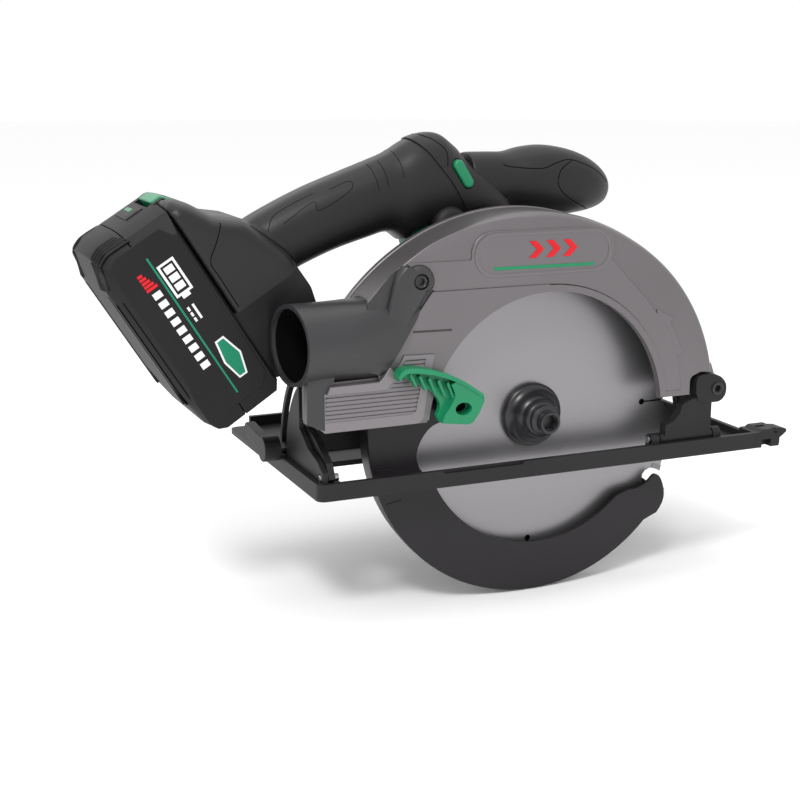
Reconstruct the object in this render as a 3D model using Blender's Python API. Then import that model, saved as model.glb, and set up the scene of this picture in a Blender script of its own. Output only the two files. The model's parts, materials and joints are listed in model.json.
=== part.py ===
"""Cordless circular saw with the blade on its right, an assembly of separate pieces.

World frame: +X forward along the cut, +Y to the saw's left, +Z up.  The origin lies on the
sole of the base, straight below the arbor, in the handle's centre plane.
Every length below is in millimetres; MM turns it into Blender's metres.
"""
from math import asin, atan2, cos, degrees, hypot, pi, radians, sin

import bmesh
import bpy
from mathutils import Matrix, Vector

MM = 0.001
GAP = 0.3                    # clearance kept between touching pieces
WALL = 2.8                   # wall of the moulded shells

# Blade and arbor
BLADE_R = 95.0
BLADE_THICK = 1.8
BLADE_Y = -40.0
BLADE_BORE_R = 8.0
TEETH = 24
ARBOR_Z = 28.0
FLANGE_R = 17.5

# Gear train: the pinion on the rotor drives the wheel on the spindle
WHEEL_TEETH = 40
PINION_TEETH = 10
MODULE = 1.0
GEAR_CENTRES = MODULE * (WHEEL_TEETH + PINION_TEETH) / 2
MOTOR_BEARING_DEG = 125.0    # direction from the arbor to the motor's axis
MOTOR_X = GEAR_CENTRES * cos(radians(MOTOR_BEARING_DEG))
MOTOR_Z = ARBOR_Z + GEAR_CENTRES * sin(radians(MOTOR_BEARING_DEG))
MOTOR_R = 34.0

# Guards
GUARD_NEAR_Y = -60.0
GUARD_FAR_Y = -28.0
GUARD_WALL = 3.0
GUARD_BOTTOM_Z = 34.5
GUARD_OPENING_R = 70.5
BOSS_R = 24.0
LOWER_R = 98.8
LOWER_NEAR_Y = -48.0
LOWER_FAR_Y = -33.5
LOWER_WALL = 2.0

# Base and its two adjustments
BASE_X = (-132.0, 136.5)
BASE_Y = (-65.0, 89.0)
BASE_RIM_Z = 9.0
PLATE = 3.0
SLOT_X = (-112.0, 103.0)
SLOT_Y = (-54.0, -6.0)
TILT_Y = -58.0               # bevel axis, along X
TILT_Z = 10.5
QUADRANT_X = (-128.7, -125.7)
BRACKET_X = (-125.3, -121.6)
PIVOT_X = 107.5              # depth axis, along Y
PIVOT_Z = 36.8
LINK_R = 180.0               # depth link's arc about the depth axis
LINK_Y = (-24.5, -21.5)
CLAMP_DEG = 177.0            # where the clamp bolt crosses the link, seen from the depth axis

# Dust nozzle
MOUTH = Vector((-141.0, -50.0, 78.4))
NOZZLE_TURN = radians(9.5)
NOZZLE_R = 20.7
NOZZLE_BORE_R = 18.5
NOZZLE_SCREW = (-75.6, 108.4)
NOZZLE_FRONT = (-98.5, 60.8)
NOZZLE_LEAN = (0.547, 0.837)

# Battery: U runs down its length, N from its bottom to the handle's foot
BATTERY_DEG = 58.0
BATTERY_U = (-207.0, -97.5)
BATTERY_N = (-150.0, -104.0)
BATTERY_HALF_Y = 38.0
FOOT_HALF_Y = 35.0
FOOT_FRONT_HALF_Y = 27.4      # the foot narrows beside the dust nozzle
TONGUE_HALF_Y = 19.0
NECK_HALF_Y = 14.0
BATTERY_MIDDLE = sum(BATTERY_U) / 2
CELL_R = 9.0
CELL_LENGTH = 65.0

ARBOR = (0.0, ARBOR_Z)
MOTOR = (MOTOR_X, MOTOR_Z)

MATERIALS = {
    "guard_grey": ((0.25, 0.235, 0.24), 0.38, 0.6),
    "base_black": ((0.035, 0.033, 0.034), 0.5, 0.3),
    "shell_black": ((0.03, 0.029, 0.03), 0.55, 0.0),
    "nozzle_black": ((0.045, 0.043, 0.045), 0.5, 0.0),
    "grip_rubber": ((0.028, 0.027, 0.028), 0.8, 0.0),
    "signal_green": ((0.02, 0.42, 0.2), 0.35, 0.0),
    "blade_steel": ((0.42, 0.41, 0.42), 0.3, 1.0),
    "black_steel": ((0.03, 0.03, 0.032), 0.4, 0.8),
    "bright_steel": ((0.6, 0.6, 0.6), 0.3, 1.0),
    "cast_metal": ((0.5, 0.5, 0.51), 0.45, 0.9),
    "copper": ((0.6, 0.25, 0.12), 0.4, 1.0),
    "cell_wrap": ((0.1, 0.25, 0.45), 0.45, 0.0),
    "board": ((0.02, 0.16, 0.08), 0.5, 0.0),
}


# ---------------------------------------------------------------- scene and objects

def clear_scene():
    for obj in list(bpy.data.objects):
        bpy.data.objects.remove(obj)


def make_materials():
    made = {}
    for name, (color, roughness, metallic) in MATERIALS.items():
        material = bpy.data.materials.new(name)
        material.use_nodes = True
        shader = material.node_tree.nodes["Principled BSDF"]
        shader.inputs["Base Color"].default_value = (*color, 1.0)
        shader.inputs["Roughness"].default_value = roughness
        shader.inputs["Metallic"].default_value = metallic
        material.diffuse_color = (*color, 1.0)
        made[name] = material
    return made


class Body:
    """An empty on a joint's axis, with the pieces that move with it as its children."""

    def __init__(self, name, pivot=(0.0, 0.0, 0.0), parent=None):
        self.pivot = Vector(pivot)
        self.empty = bpy.data.objects.new(name + "_joint", None)
        bpy.context.scene.collection.objects.link(self.empty)
        parent_pivot = parent.pivot if parent else Vector((0.0, 0.0, 0.0))
        if parent:
            self.empty.parent = parent.empty
        self.empty.location = (self.pivot - parent_pivot) * MM

    def add(self, name, bm, material):
        """Turn a mesh in world millimetres into a named piece of this body."""
        bmesh.ops.translate(bm, vec=-self.pivot, verts=bm.verts)
        obj = make_object(name, bm)
        obj.data.materials.append(FINISH[material])
        obj.parent = self.empty
        return obj


def make_object(name, bm):
    bmesh.ops.recalc_face_normals(bm, faces=bm.faces)
    bmesh.ops.scale(bm, vec=(MM, MM, MM), verts=bm.verts)
    mesh = bpy.data.meshes.new(name)
    bm.to_mesh(mesh)
    bm.free()
    mesh.shade_smooth()
    mesh.set_sharp_from_angle(angle=radians(32))
    obj = bpy.data.objects.new(name, mesh)
    bpy.context.scene.collection.objects.link(obj)
    return obj


def combine(obj, operation, *shapes):
    """Add a live Boolean to obj for each shape, a mesh in world millimetres."""
    for index, shape in enumerate(shapes):
        tool = make_object(f"{obj.name}_{operation.lower()}_{len(obj.modifiers)}", shape)
        tool.hide_render = True
        tool.display_type = "WIRE"
        modifier = obj.modifiers.new(f"{operation.title()} {index}", "BOOLEAN")
        modifier.operation = operation
        modifier.solver = "EXACT"
        modifier.object = tool
    return obj


def carve(obj, *shapes):
    return combine(obj, "DIFFERENCE", *shapes)


def weld(obj, *shapes):
    return combine(obj, "UNION", *shapes)


# ---------------------------------------------------------------- outlines and solids

def arc(centre, radius, start, end, steps):
    """Points on an arc, degrees measured from +X towards +Z."""
    angles = [radians(start + (end - start) * i / steps) for i in range(steps + 1)]
    return [(centre[0] + radius * cos(a), centre[1] + radius * sin(a)) for a in angles]


def circle(centre, radius, steps):
    return arc(centre, radius, 0, 360, steps)[:-1]


def rectangle(a, b):
    return [(a[0], a[1]), (b[0], a[1]), (b[0], b[1]), (a[0], b[1])]


def place(axis, point, along):
    """A point of an outline drawn square to the axis: XZ for Y, YZ for X, XY for Z."""
    if axis == "Y":
        return Vector((point[0], along, point[1]))
    if axis == "X":
        return Vector((along, point[0], point[1]))
    return Vector((point[0], point[1], along))


def stack(rings, closed=False):
    """A solid skinned over rings of equal length, with flat ends unless it closes on itself."""
    bm = bmesh.new()
    loops = [[bm.verts.new(point) for point in ring] for ring in rings]
    pairs = list(zip(loops, loops[1:]))
    if closed:
        pairs.append((loops[-1], loops[0]))
    for low, high in pairs:
        for i in range(len(low)):
            j = (i + 1) % len(low)
            bm.faces.new((low[i], low[j], high[j], high[i]))
    if not closed:
        bm.faces.new(loops[0])
        bm.faces.new(loops[-1])
    return bm


def prism(outline, axis, low, high):
    return stack([[place(axis, point, along) for point in outline] for along in (low, high)])


def box(low, high):
    return prism(rectangle(low, high), "Z", low[2], high[2])


def cylinder(axis, centre, radius, low, high, steps=24):
    return prism(circle(centre, radius, steps), axis, low, high)


def turned(profile, axis, centre, steps=32):
    """A turned ring: the profile is a closed outline of (radius, position along the axis)."""
    rings = []
    for i in range(steps):
        a = 2 * pi * i / steps
        ring = []
        for radius, along in profile:
            point = (centre[0] + radius * cos(a), centre[1] + radius * sin(a))
            ring.append(place(axis, point, along))
        rings.append(ring)
    return stack(rings, closed=True)


def ring(axis, centre, inner, outer, low, high, steps=32):
    profile = [(inner, low), (outer, low), (outer, high), (inner, high)]
    return turned(profile, axis, centre, steps)


def polar(centre, radius, angle):
    return (centre[0] + radius * cos(radians(angle)), centre[1] + radius * sin(radians(angle)))


def oval(x, z, heading, half_thick, half_wide, steps=20, power=2.4):
    """A superellipse ring, square to a path in the XZ plane that runs at the heading."""
    normal = Vector((-sin(radians(heading)), 0.0, cos(radians(heading))))
    points = []
    for i in range(steps):
        c = cos(2 * pi * i / steps)
        s = sin(2 * pi * i / steps)
        across = half_wide * abs(c) ** (2 / power) * (1 if c >= 0 else -1)
        up = half_thick * abs(s) ** (2 / power) * (1 if s >= 0 else -1)
        points.append(Vector((x, across, z)) + normal * up)
    return points


def battery_point(u, n):
    """World X and Z of a point given along and across the battery's slide."""
    c = cos(radians(BATTERY_DEG))
    s = sin(radians(BATTERY_DEG))
    return (u * c + n * s, ARBOR_Z - u * s + n * c)


def battery_prism(outline, low_y, high_y):
    return prism([battery_point(u, n) for u, n in outline], "Y", low_y, high_y)


def battery_box(u, n, y):
    return battery_prism(rectangle((u[0], n[0]), (u[1], n[1])), y[0], y[1])


def tube(path, radius, sides=8):
    """A round wire along a list of points."""
    rings = []
    for i, point in enumerate(path):
        before = path[max(i - 1, 0)]
        after = path[min(i + 1, len(path) - 1)]
        turn = (after - before).to_track_quat("Z", "Y").to_matrix()
        offsets = [Vector((cos(2 * pi * k / sides), sin(2 * pi * k / sides), 0)) for k in range(sides)]
        rings.append([point + turn @ (offset * radius) for offset in offsets])
    return stack(rings)


# ---------------------------------------------------------------- base and bevel frame

def base_plate(base):
    bm = box((BASE_X[0], BASE_Y[0], 0), (BASE_X[1], BASE_Y[1], BASE_RIM_Z))
    plate = base.add("base_plate", bm, "base_black")
    rim = PLATE
    pan = box((BASE_X[0] + rim, BASE_Y[0] + rim, PLATE), (BASE_X[1] - rim, BASE_Y[1] - rim, 30))
    slot = box((SLOT_X[0], SLOT_Y[0], -10), (SLOT_X[1], SLOT_Y[1], 30))
    step = box((BASE_X[0] - 5, 55, PLATE), (BASE_X[0] + 12, BASE_Y[1] + 5, 30))
    carve(plate, pan, slot, step)
    block = box((BASE_X[1] - rim - 1, BASE_Y[0], 0), (150, -50, 10.5))
    nose = prism([(148, 2), (157, 7), (156, 9), (148, 10)], "Y", -62, -52)
    lugs = [tilt_lug(x) for x in (66, 106.5)]
    weld(plate, block, nose, *lugs)
    carve(plate, box((137, -70, -5), (144, -60, 4.5)))
    carve(plate, cylinder("X", (TILT_Y, TILT_Z), 2.3, 60, 120, 12))


def tilt_lug(x):
    """A lug on the plate that carries a bevel pin."""
    top = arc((TILT_Y, TILT_Z), 4, 0, 180, 8)
    return prism([(TILT_Y - 4, 1), (TILT_Y + 4, 1)] + top, "X", x, x + 5)


def bevel_quadrant(base):
    """Upright plate at the back with an arc slot that the tilting bracket is clamped to."""
    centre = (TILT_Y, TILT_Z)
    outline = [(-62, PLATE + GAP), (3.5, PLATE + GAP)] + arc(centre, 62.5, -2, 53, 12)
    outline += [(-27.4, 53), (-27.4, 30), (-40, 22), (-54, 18.5), (-62, 14)]
    quadrant = base.add("bevel_quadrant", prism(outline, "X", *QUADRANT_X), "base_black")
    slot = arc(centre, 59.4, -1.2, 51.5, 14) + arc(centre, 52.6, 51.5, -1.2, 12)
    carve(quadrant, prism(slot, "X", -140, -110), cylinder("X", centre, 2.3, -140, -110, 12))


def bevel_pin(base, name, low, high):
    base.add(name, cylinder("X", (TILT_Y, TILT_Z), 2.0, low, high, 12), "bright_steel")


def front_bracket(frame):
    """Near leg on the bevel pin, with the two ears of the depth pivot and a web between them."""
    ear = arc((PIVOT_X, PIVOT_Z), 8.3, -90, 90, 8) + [(94, PIVOT_Z + 8.3), (94, 28.5)]
    foot = [(88, 21), (80, 15), (72, 14), (72, TILT_Z - 3), (105.5, TILT_Z - 3), (105.5, 28)]
    bracket = frame.add("front_bracket", prism(ear + foot, "Y", -61.5, -55), "base_black")
    pivot_ear = arc((PIVOT_X, PIVOT_Z), 8.3, -60, 180, 12) + [(102, 20), (112, 14)]
    far_ear = prism(pivot_ear, "Y", -32.5, -27)
    web = prism([(101.6, 14), (105.4, 14), (105.4, 28), (101.6, 28)], "Y", -56, -28)
    eye = cylinder("X", (TILT_Y, TILT_Z), 4, 71.7, 105.7, 16)
    weld(bracket, eye, far_ear, web)
    carve(bracket, cylinder("X", (TILT_Y, TILT_Z), 2.3, 60, 115, 12))
    carve(bracket, cylinder("Y", (PIVOT_X, PIVOT_Z), 3.3, -70, -20, 12))


def bevel_bolt_place():
    return polar((TILT_Y, TILT_Z), 56, 3)


def depth_pivot_bolt(frame):
    """Socket screw through both ears and the guard's barrel."""
    profile = [(0.01, -62.2), (0.01, -25), (3, -25), (3, -61.8), (5.2, -61.8), (5.2, -64), (2.4, -64)]
    profile += [(2.4, -62.2)]
    frame.add("depth_pivot_bolt", turned(profile, "Y", (PIVOT_X, PIVOT_Z), 16), "black_steel")


def rear_bracket(frame):
    """Upright plate at the back of the base, with the arm that holds the depth link."""
    outline = [(-54, TILT_Z - 3.5), (-4, 5.5), (4, 8), (5, 19), (-3, 27), (-10, 31)]
    outline += [(-30, 31), (-44, 26)]
    outline += [(TILT_Y, 18), (TILT_Y - 4, TILT_Z), (TILT_Y, TILT_Z - 4)]
    bracket = frame.add("rear_bracket", prism(outline, "X", *BRACKET_X), "base_black")
    arm = box((BRACKET_X[1] - 2, LINK_Y[1] + GAP, 14), (-62, -17, 30))
    weld(bracket, arm)
    carve(bracket, cylinder("X", (TILT_Y, TILT_Z), 2.3, -130, -110, 12))
    carve(bracket, cylinder("X", bevel_bolt_place(), 3.3, -130, -110, 12))
    carve(bracket, cylinder("Y", (-70, 22), 2.2, -30, -10, 10))


def depth_link(frame):
    """Arc plate centred on the depth pivot; the clamp bolt runs in its slot."""
    centre = (PIVOT_X, PIVOT_Z)
    outline = arc(centre, LINK_R + 7, 151, 188, 14) + arc(centre, LINK_R - 7, 188, 151, 14)
    link = frame.add("depth_link", prism(outline, "Y", *LINK_Y), "bright_steel")
    slot = arc(centre, LINK_R + 4.6, 146.5, 178.5, 12) + arc(centre, LINK_R - 4.6, 178.5, 146.5, 12)
    open_end = prism(slot, "Y", -30, -15)
    carve(link, open_end)
    carve(link, cylinder("Y", (-70, 22), 2.2, -30, -10, 10))


def link_screw(frame):
    profile = [(0.01, -26.9), (3.8, -26.9), (3.8, -24.8), (2, -24.8), (2, -17.3), (0.01, -17.3)]
    frame.add("link_screw", turned(profile, "Y", (-70, 22), 12), "bright_steel")


def bevel_bolt(frame):
    profile = [(0.01, -117), (5, -117), (5, -121.3), (3, -121.3), (3, -137), (0.01, -137)]
    frame.add("bevel_bolt", turned(profile, "X", bevel_bolt_place(), 12), "bright_steel")


def clamp_lever(axis, centre, low, high, reach, lean):
    """A hub with a cranked arm: the arm leaves along the given lean in degrees."""
    hub = cylinder(axis, centre, 7, low, high, 20)
    tip = polar(centre, reach, lean)
    side = (-sin(radians(lean)), cos(radians(lean)))
    outline = []
    for point, half in ((centre, 5.0), (tip, 3.6)):
        outline.append((point[0] + side[0] * half, point[1] + side[1] * half))
    outline += arc(tip, 3.6, lean + 60, lean - 60, 5)
    for point, half in ((tip, -3.6), (centre, -5.0)):
        outline.append((point[0] + side[0] * half, point[1] + side[1] * half))
    return hub, prism(outline, axis, low + 1, high - 3)


def bevel_lever(lever):
    hub, arm = clamp_lever("X", bevel_bolt_place(), -141.5, -132.3, 30, 8)
    piece = lever.add("bevel_lever", hub, "base_black")
    weld(piece, arm)
    carve(piece, cylinder("X", bevel_bolt_place(), 3.3, -137.5, -120, 12))


def depth_lever(lever):
    hub, arm = clamp_lever("Y", clamp_place(), 15.4, 25, 40, 150)
    piece = lever.add("depth_lever", hub, "base_black")
    weld(piece, arm)
    carve(piece, cylinder("Y", clamp_place(), 3.4, 10, 22.5, 12))


def clamp_place():
    return polar((PIVOT_X, PIVOT_Z), LINK_R, CLAMP_DEG)


def depth_bolt(saw):
    profile = [(0.01, -27.3), (6.2, -27.3), (6.2, -24.9), (3.1, -24.9), (3.1, 22), (0.01, 22)]
    saw.add("depth_bolt", turned(profile, "Y", clamp_place(), 12), "bright_steel")


# ---------------------------------------------------------------- guards

def guard_radius(angle):
    """The upper guard's outer radius, which grows from front to back."""
    if angle <= 60:
        return 108.5
    return 108.5 + 15.0 * ((angle - 60) / 84) ** 1.35


def guard_outline(inset, bottom):
    """Side view of the upper guard, inset by a wall and open down to the given height."""
    if inset:
        first = 0.0
        shape = [(guard_radius(0) - inset, bottom)]
    else:
        first = degrees(asin(19 / guard_radius(0)))
        shape = [(91, bottom), (91, ARBOR_Z + 18)]
    for i in range(17):
        angle = first + (144 - first) * i / 16
        shape.append(polar(ARBOR, guard_radius(angle) - inset, angle))
    shape += [(-119 + inset, ARBOR_Z + 50), (-127 + inset, ARBOR_Z + 38), (-127 + inset, bottom)]
    return shape


def nozzle_axis_point(distance):
    """A point on the dust nozzle's axis, forward of its mouth."""
    along = Vector((cos(NOZZLE_TURN), sin(NOZZLE_TURN), 0.0))
    return MOUTH + along * distance


def nozzle_rod(radius, low, high, steps=28):
    bm = cylinder("X", (0, 0), radius, low, high, steps)
    turn = Matrix.Rotation(NOZZLE_TURN, 4, "Z")
    bmesh.ops.transform(bm, matrix=Matrix.Translation(MOUTH) @ turn, verts=bm.verts)
    return bm


def trim(bm, point, normal):
    """Keep the part of a closed mesh behind the plane through the point."""
    cut = bmesh.ops.bisect_plane(
        bm, geom=bm.verts[:] + bm.edges[:] + bm.faces[:], plane_co=point,
        plane_no=normal, clear_outer=True)
    edges = [item for item in cut["geom_cut"] if isinstance(item, bmesh.types.BMEdge)]
    bmesh.ops.contextual_create(bm, geom=edges)
    return bm


def nozzle_barrel(radius, low, high, gap):
    """The nozzle's rod, ended by the guard's far wall and along the wing's slanted front edge."""
    bm = trim(nozzle_rod(radius, low, high), (0, GUARD_FAR_Y - GUARD_WALL - gap, 0), (0, 1, 0))
    front = Vector((NOZZLE_FRONT[0], 0, NOZZLE_FRONT[1]))
    lean = Vector((NOZZLE_LEAN[1], 0, -NOZZLE_LEAN[0]))
    return trim(bm, front - lean * gap, lean)


def upper_guard(saw):
    """Cast guard: near wall with the round window, rim, far wall with the spindle boss."""
    bm = prism(guard_outline(0, GUARD_BOTTOM_Z), "Y", GUARD_NEAR_Y, GUARD_FAR_Y)
    guard = saw.add("upper_guard", bm, "guard_grey")
    panel = [(-127, 35), (-71.6, 35), (-68, 69), (-85, 69), (-90, 63.5), (-97, 58.5), (-127, 58.5)]
    chute = prism(panel, "Y", GUARD_NEAR_Y - 2, GUARD_NEAR_Y + 1)
    weld(guard, chute)
    hollow = prism(guard_outline(GUARD_WALL, 0), "Y", GUARD_NEAR_Y + GUARD_WALL, GUARD_FAR_Y - GUARD_WALL)
    window = cylinder("Y", ARBOR, GUARD_OPENING_R, -80, -50, 48)
    nozzle = nozzle_barrel(NOZZLE_R + GAP, -30, 75, 0.2)
    carve(guard, hollow, window, nozzle)
    boss = cylinder("Y", ARBOR, BOSS_R, -36.5, GUARD_FAR_Y, 32)
    barrel = cylinder("Y", (PIVOT_X, PIVOT_Z), 7.4, -54.5, -33, 20)
    stay = prism([(101, 38), (112, 38), (107.5, 50), (101, 50)], "Y", -54.5, -33)
    weld(guard, boss, stay, barrel)
    carve(guard, cylinder("Y", ARBOR, 18.5, -40, -30.5, 32))
    carve(guard, cylinder("Y", ARBOR, 16.3, -40, -20, 32))
    carve(guard, cylinder("Y", MOTOR, 9.0, -40, -20, 20))
    carve(guard, cylinder("Y", (PIVOT_X, PIVOT_Z), 3.3, -70, -20, 12))
    carve(guard, cylinder("Y", NOZZLE_SCREW, 1.9, -70, -50, 10))
    return guard


def dust_nozzle(saw):
    """Round spout with a flat wing that is screwed to the guard's near face."""
    nozzle = saw.add("dust_nozzle", nozzle_barrel(NOZZLE_R, 0, 75, 0.5), "nozzle_black")
    edge = [(-96.5, 61.5), (-89.0, 67.6), (-82.4, 79.8), (-78.4, 88.8), (-74.0, 96.4), (-69.6, 102.4)]
    lug = arc(NOZZLE_SCREW, 8.3, -38, 118, 8)
    rear = [(-84.8, 116.6), (-88.6, 112.4), (-91.2, 104), (-91.6, 92), (-112, 66)]
    wing = prism(edge + lug + rear, "Y", GUARD_NEAR_Y - 4, GUARD_NEAR_Y - GAP)
    skirt = prism([(-136, 36), (-127.5, 36), (-127.5, 62), (-136, 70)], "Y", -61.5, -57)
    screen = box((-129.5, -58, 36), (-127.5, -34, 68))
    weld(nozzle, wing, skirt, screen, nozzle_rod(NOZZLE_R + 0.5, -0.2, 8.5))
    carve(nozzle, nozzle_barrel(NOZZLE_BORE_R, -10, 90, 3), nozzle_rod(12.5, 30, 90))
    carve(nozzle, cylinder("Y", ARBOR, LOWER_R + 1.5, -56.7, 0, 64))
    carve(nozzle, cylinder("Y", NOZZLE_SCREW, 1.9, -70, -50, 10))


def nozzle_screw(saw):
    profile = [(0.01, -67), (3.6, -67), (3.6, -64.3), (1.6, -64.3), (1.6, -57.3), (0.01, -57.3)]
    saw.add("nozzle_screw", turned(profile, "Y", NOZZLE_SCREW, 12), "black_steel")


def lower_guard(swing):
    """Sheet and moulding that hangs round the blade: near sickle, rim and far wall with its hub."""
    tip = -31.0
    tail = -200.0
    window = [(-46, 30), (-54, 31), (-62.5, 28.5), (-68.5, 21.5), (-71, 13), (-68.5, 5)]
    window += arc((3, 26.5), 70, 207, 308, 12) + [(53, -24), (60, -22.6)]
    sickle = window + arc(ARBOR, LOWER_R - 0.8, tip - 0.5, tail + 0.5, 24) + [(-70, 52), (-46, 44)]
    near = prism(sickle, "Y", LOWER_NEAR_Y, LOWER_NEAR_Y + LOWER_WALL)
    guard = swing.add("lower_guard", near, "base_black")
    band = arc(ARBOR, LOWER_R, tip, tail, 32) + arc(ARBOR, LOWER_R - LOWER_WALL, tail, tip, 32)
    rim = prism(band, "Y", LOWER_NEAR_Y + 0.5, LOWER_FAR_Y - 0.4)
    sector = arc(ARBOR, LOWER_R - 0.8, tip - 0.5, tail + 0.5, 24) + arc(ARBOR, 22, 150, -20, 6)
    far = prism(sector, "Y", LOWER_FAR_Y - LOWER_WALL, LOWER_FAR_Y)
    hub = cylinder("Y", ARBOR, BOSS_R + 6, LOWER_FAR_Y - LOWER_WALL - 0.3, LOWER_FAR_Y - 0.3, 32)
    post = prism(circle((-58, 42), 5.5, 12), "Y", -62.3, LOWER_NEAR_Y + 1)
    weld(guard, rim, far, hub, post)
    carve(guard, cylinder("Y", ARBOR, BOSS_R + GAP, -45, -20, 32))


def guard_lever(swing):
    """Green thumb lever that opens the lower guard."""
    outline = [(-88, 64), (-84, 67.5), (-70, 64.5), (-52, 57), (-40, 47.5), (-39, 42), (-42, 37), (-48, 33)]
    outline += [(-62, 35), (-66, 44), (-76, 51)]
    lever = swing.add("guard_lever", prism(outline, "Y", -68.5, -62.6), "signal_green")
    carve(lever, cylinder("Y", (-50, 41), 3.6, -80, -50, 16))


def guard_retainer(saw):
    """Ring on the boss that keeps the lower guard's hub in place."""
    bm = ring("Y", ARBOR, 19.3, BOSS_R + 3, -38.2, -36.8, 28)
    saw.add("guard_retainer", bm, "bright_steel")


def guard_spring(saw):
    """Flat spiral spring round the boss, between the far wall and the lower guard's hub."""
    path = []
    for i in range(31):
        point = polar(ARBOR, 26 + 0.18 * i, 18 * i)
        path.append(Vector((point[0], -32.2, point[1])))
    saw.add("guard_spring", tube(path, 0.7, 5), "bright_steel")


def guard_stop(saw):
    """Rubber bumper on the far wall that the lower guard meets when it is fully open."""
    saw.add("guard_stop", cylinder("Y", polar(ARBOR, 92, 36), 4, -37.5, -31.3, 16), "grip_rubber")


# ---------------------------------------------------------------- blade, spindle and motor

def blade_outline():
    """Saw teeth with rounded gullets, and four expansion slots between them."""
    points = []
    pitch = 360 / TEETH
    for tooth in range(TEETH):
        start = tooth * pitch
        points.append(polar(ARBOR, BLADE_R, start))
        points.append(polar(ARBOR, BLADE_R - 1.2, start + 0.36 * pitch))
        points.append(polar(ARBOR, BLADE_R - 5, start + 0.5 * pitch))
        points.append(polar(ARBOR, BLADE_R - 9, start + 0.66 * pitch))
        points.append(polar(ARBOR, BLADE_R - 9.6, start + 0.82 * pitch))
        points.append(polar(ARBOR, BLADE_R - 6.5, start + 0.95 * pitch))
    return points


def blade(arbor):
    half = BLADE_THICK / 2
    bm = prism(blade_outline(), "Y", BLADE_Y - half, BLADE_Y + half)
    disc = arbor.add("blade", bm, "blade_steel")
    carve(disc, cylinder("Y", ARBOR, BLADE_BORE_R, -50, -30, 24))


def outer_flange(arbor):
    face = BLADE_Y - BLADE_THICK / 2 - GAP
    profile = [(4.3, face), (FLANGE_R, face), (FLANGE_R, -45), (15.5, -48.5), (12.5, -49.5), (11.8, -54)]
    profile += [(9.5, -56), (4.3, -56)]
    arbor.add("outer_flange", turned(profile, "Y", ARBOR, 32), "black_steel")


def inner_flange(arbor):
    face = BLADE_Y + BLADE_THICK / 2 + GAP
    profile = [(8.0, face), (FLANGE_R, face), (FLANGE_R, -35.5), (12, -33), (8.0, -33)]
    arbor.add("inner_flange", turned(profile, "Y", ARBOR, 32), "black_steel")


def blade_bolt(arbor):
    profile = [(0.01, -62), (2.9, -62), (2.9, -65), (4.8, -65), (4.8, -60), (8.2, -59), (8.2, -56.3)]
    profile += [(4.0, -56.3), (4.0, -30), (0.01, -30)]
    arbor.add("blade_bolt", turned(profile, "Y", ARBOR, 20), "black_steel")


def spindle(arbor):
    profile = [(4.3, -40.8), (7.6, -40.8), (7.6, -25), (6, -25), (6, -7.6), (0.01, -7.6), (0.01, -29)]
    profile += [(4.3, -29)]
    arbor.add("spindle", turned(profile, "Y", ARBOR, 24), "bright_steel")


def gear_outline(centre, teeth, turn):
    """Straight-flanked teeth with backlash, one tooth on the given direction."""
    pitch = 360 / teeth
    pitch_r = MODULE * teeth / 2
    tip_r = pitch_r + 0.75 * MODULE
    root_r = pitch_r - 1.15 * MODULE
    points = []
    for tooth in range(teeth):
        middle = turn + tooth * pitch
        for radius, offset in ((root_r, -0.27), (tip_r, -0.11), (tip_r, 0.11), (root_r, 0.27)):
            points.append(polar(centre, radius, middle + offset * pitch))
    return points


def spindle_gear(arbor):
    outline = gear_outline(ARBOR, WHEEL_TEETH, MOTOR_BEARING_DEG)
    wheel = arbor.add("spindle_gear", prism(outline, "Y", -21.5, -12), "bright_steel")
    carve(wheel, cylinder("Y", ARBOR, 6.3, -40, 0, 24))
    for turn in (0, 90, 180, 270):
        carve(wheel, cylinder("Y", lock_place(turn), 3.2, -40, 0, 12))


def rotor_shaft(rotor):
    """Motor shaft with the pinion's teeth cut in its end."""
    toward_wheel = MOTOR_BEARING_DEG + 180
    outline = gear_outline(MOTOR, PINION_TEETH, toward_wheel + 180 / PINION_TEETH)
    shaft = rotor.add("rotor_shaft", prism(outline, "Y", -23, -10.5), "bright_steel")
    weld(shaft, cylinder("Y", MOTOR, 3.2, -25.5, 53, 16))


def rotor_core(rotor):
    rotor.add("rotor_core", ring("Y", MOTOR, 3.5, 20.2, 10, 40, 28), "bright_steel")


def cooling_fan(rotor):
    """Back plate with a star of straight blades round its hub."""
    star = []
    for k in range(8):
        middle = 45 * k + 7
        star += [polar(MOTOR, 8.6, middle - 8), polar(MOTOR, 27, middle - 2)]
        star += [polar(MOTOR, 27, middle + 2), polar(MOTOR, 8.6, middle + 8)]
    fan = rotor.add("cooling_fan", prism(star, "Y", 1.2, 8), "shell_black")
    weld(fan, cylinder("Y", MOTOR, 28, 0.5, 2.3, 28))
    carve(fan, cylinder("Y", MOTOR, 3.5, -5, 15, 16))


def bearing(body, name, centre, inner, outer, low, high):
    body.add(name, ring("Y", centre, inner, outer, low, high, 20), "bright_steel")


def hull_of_circles(small, small_r, large, large_r, steps=14):
    """Outline round two circles and their common tangents."""
    dx = large[0] - small[0]
    dz = large[1] - small[1]
    heading = degrees(atan2(dz, dx))
    lean = degrees(asin((large_r - small_r) / hypot(dx, dz))) if hypot(dx, dz) > large_r - small_r else 90
    first = arc(large, large_r, heading - 90 - lean, heading + 90 + lean, steps)
    return first + arc(small, small_r, heading + 90 + lean, heading + 270 - lean, steps)


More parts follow.
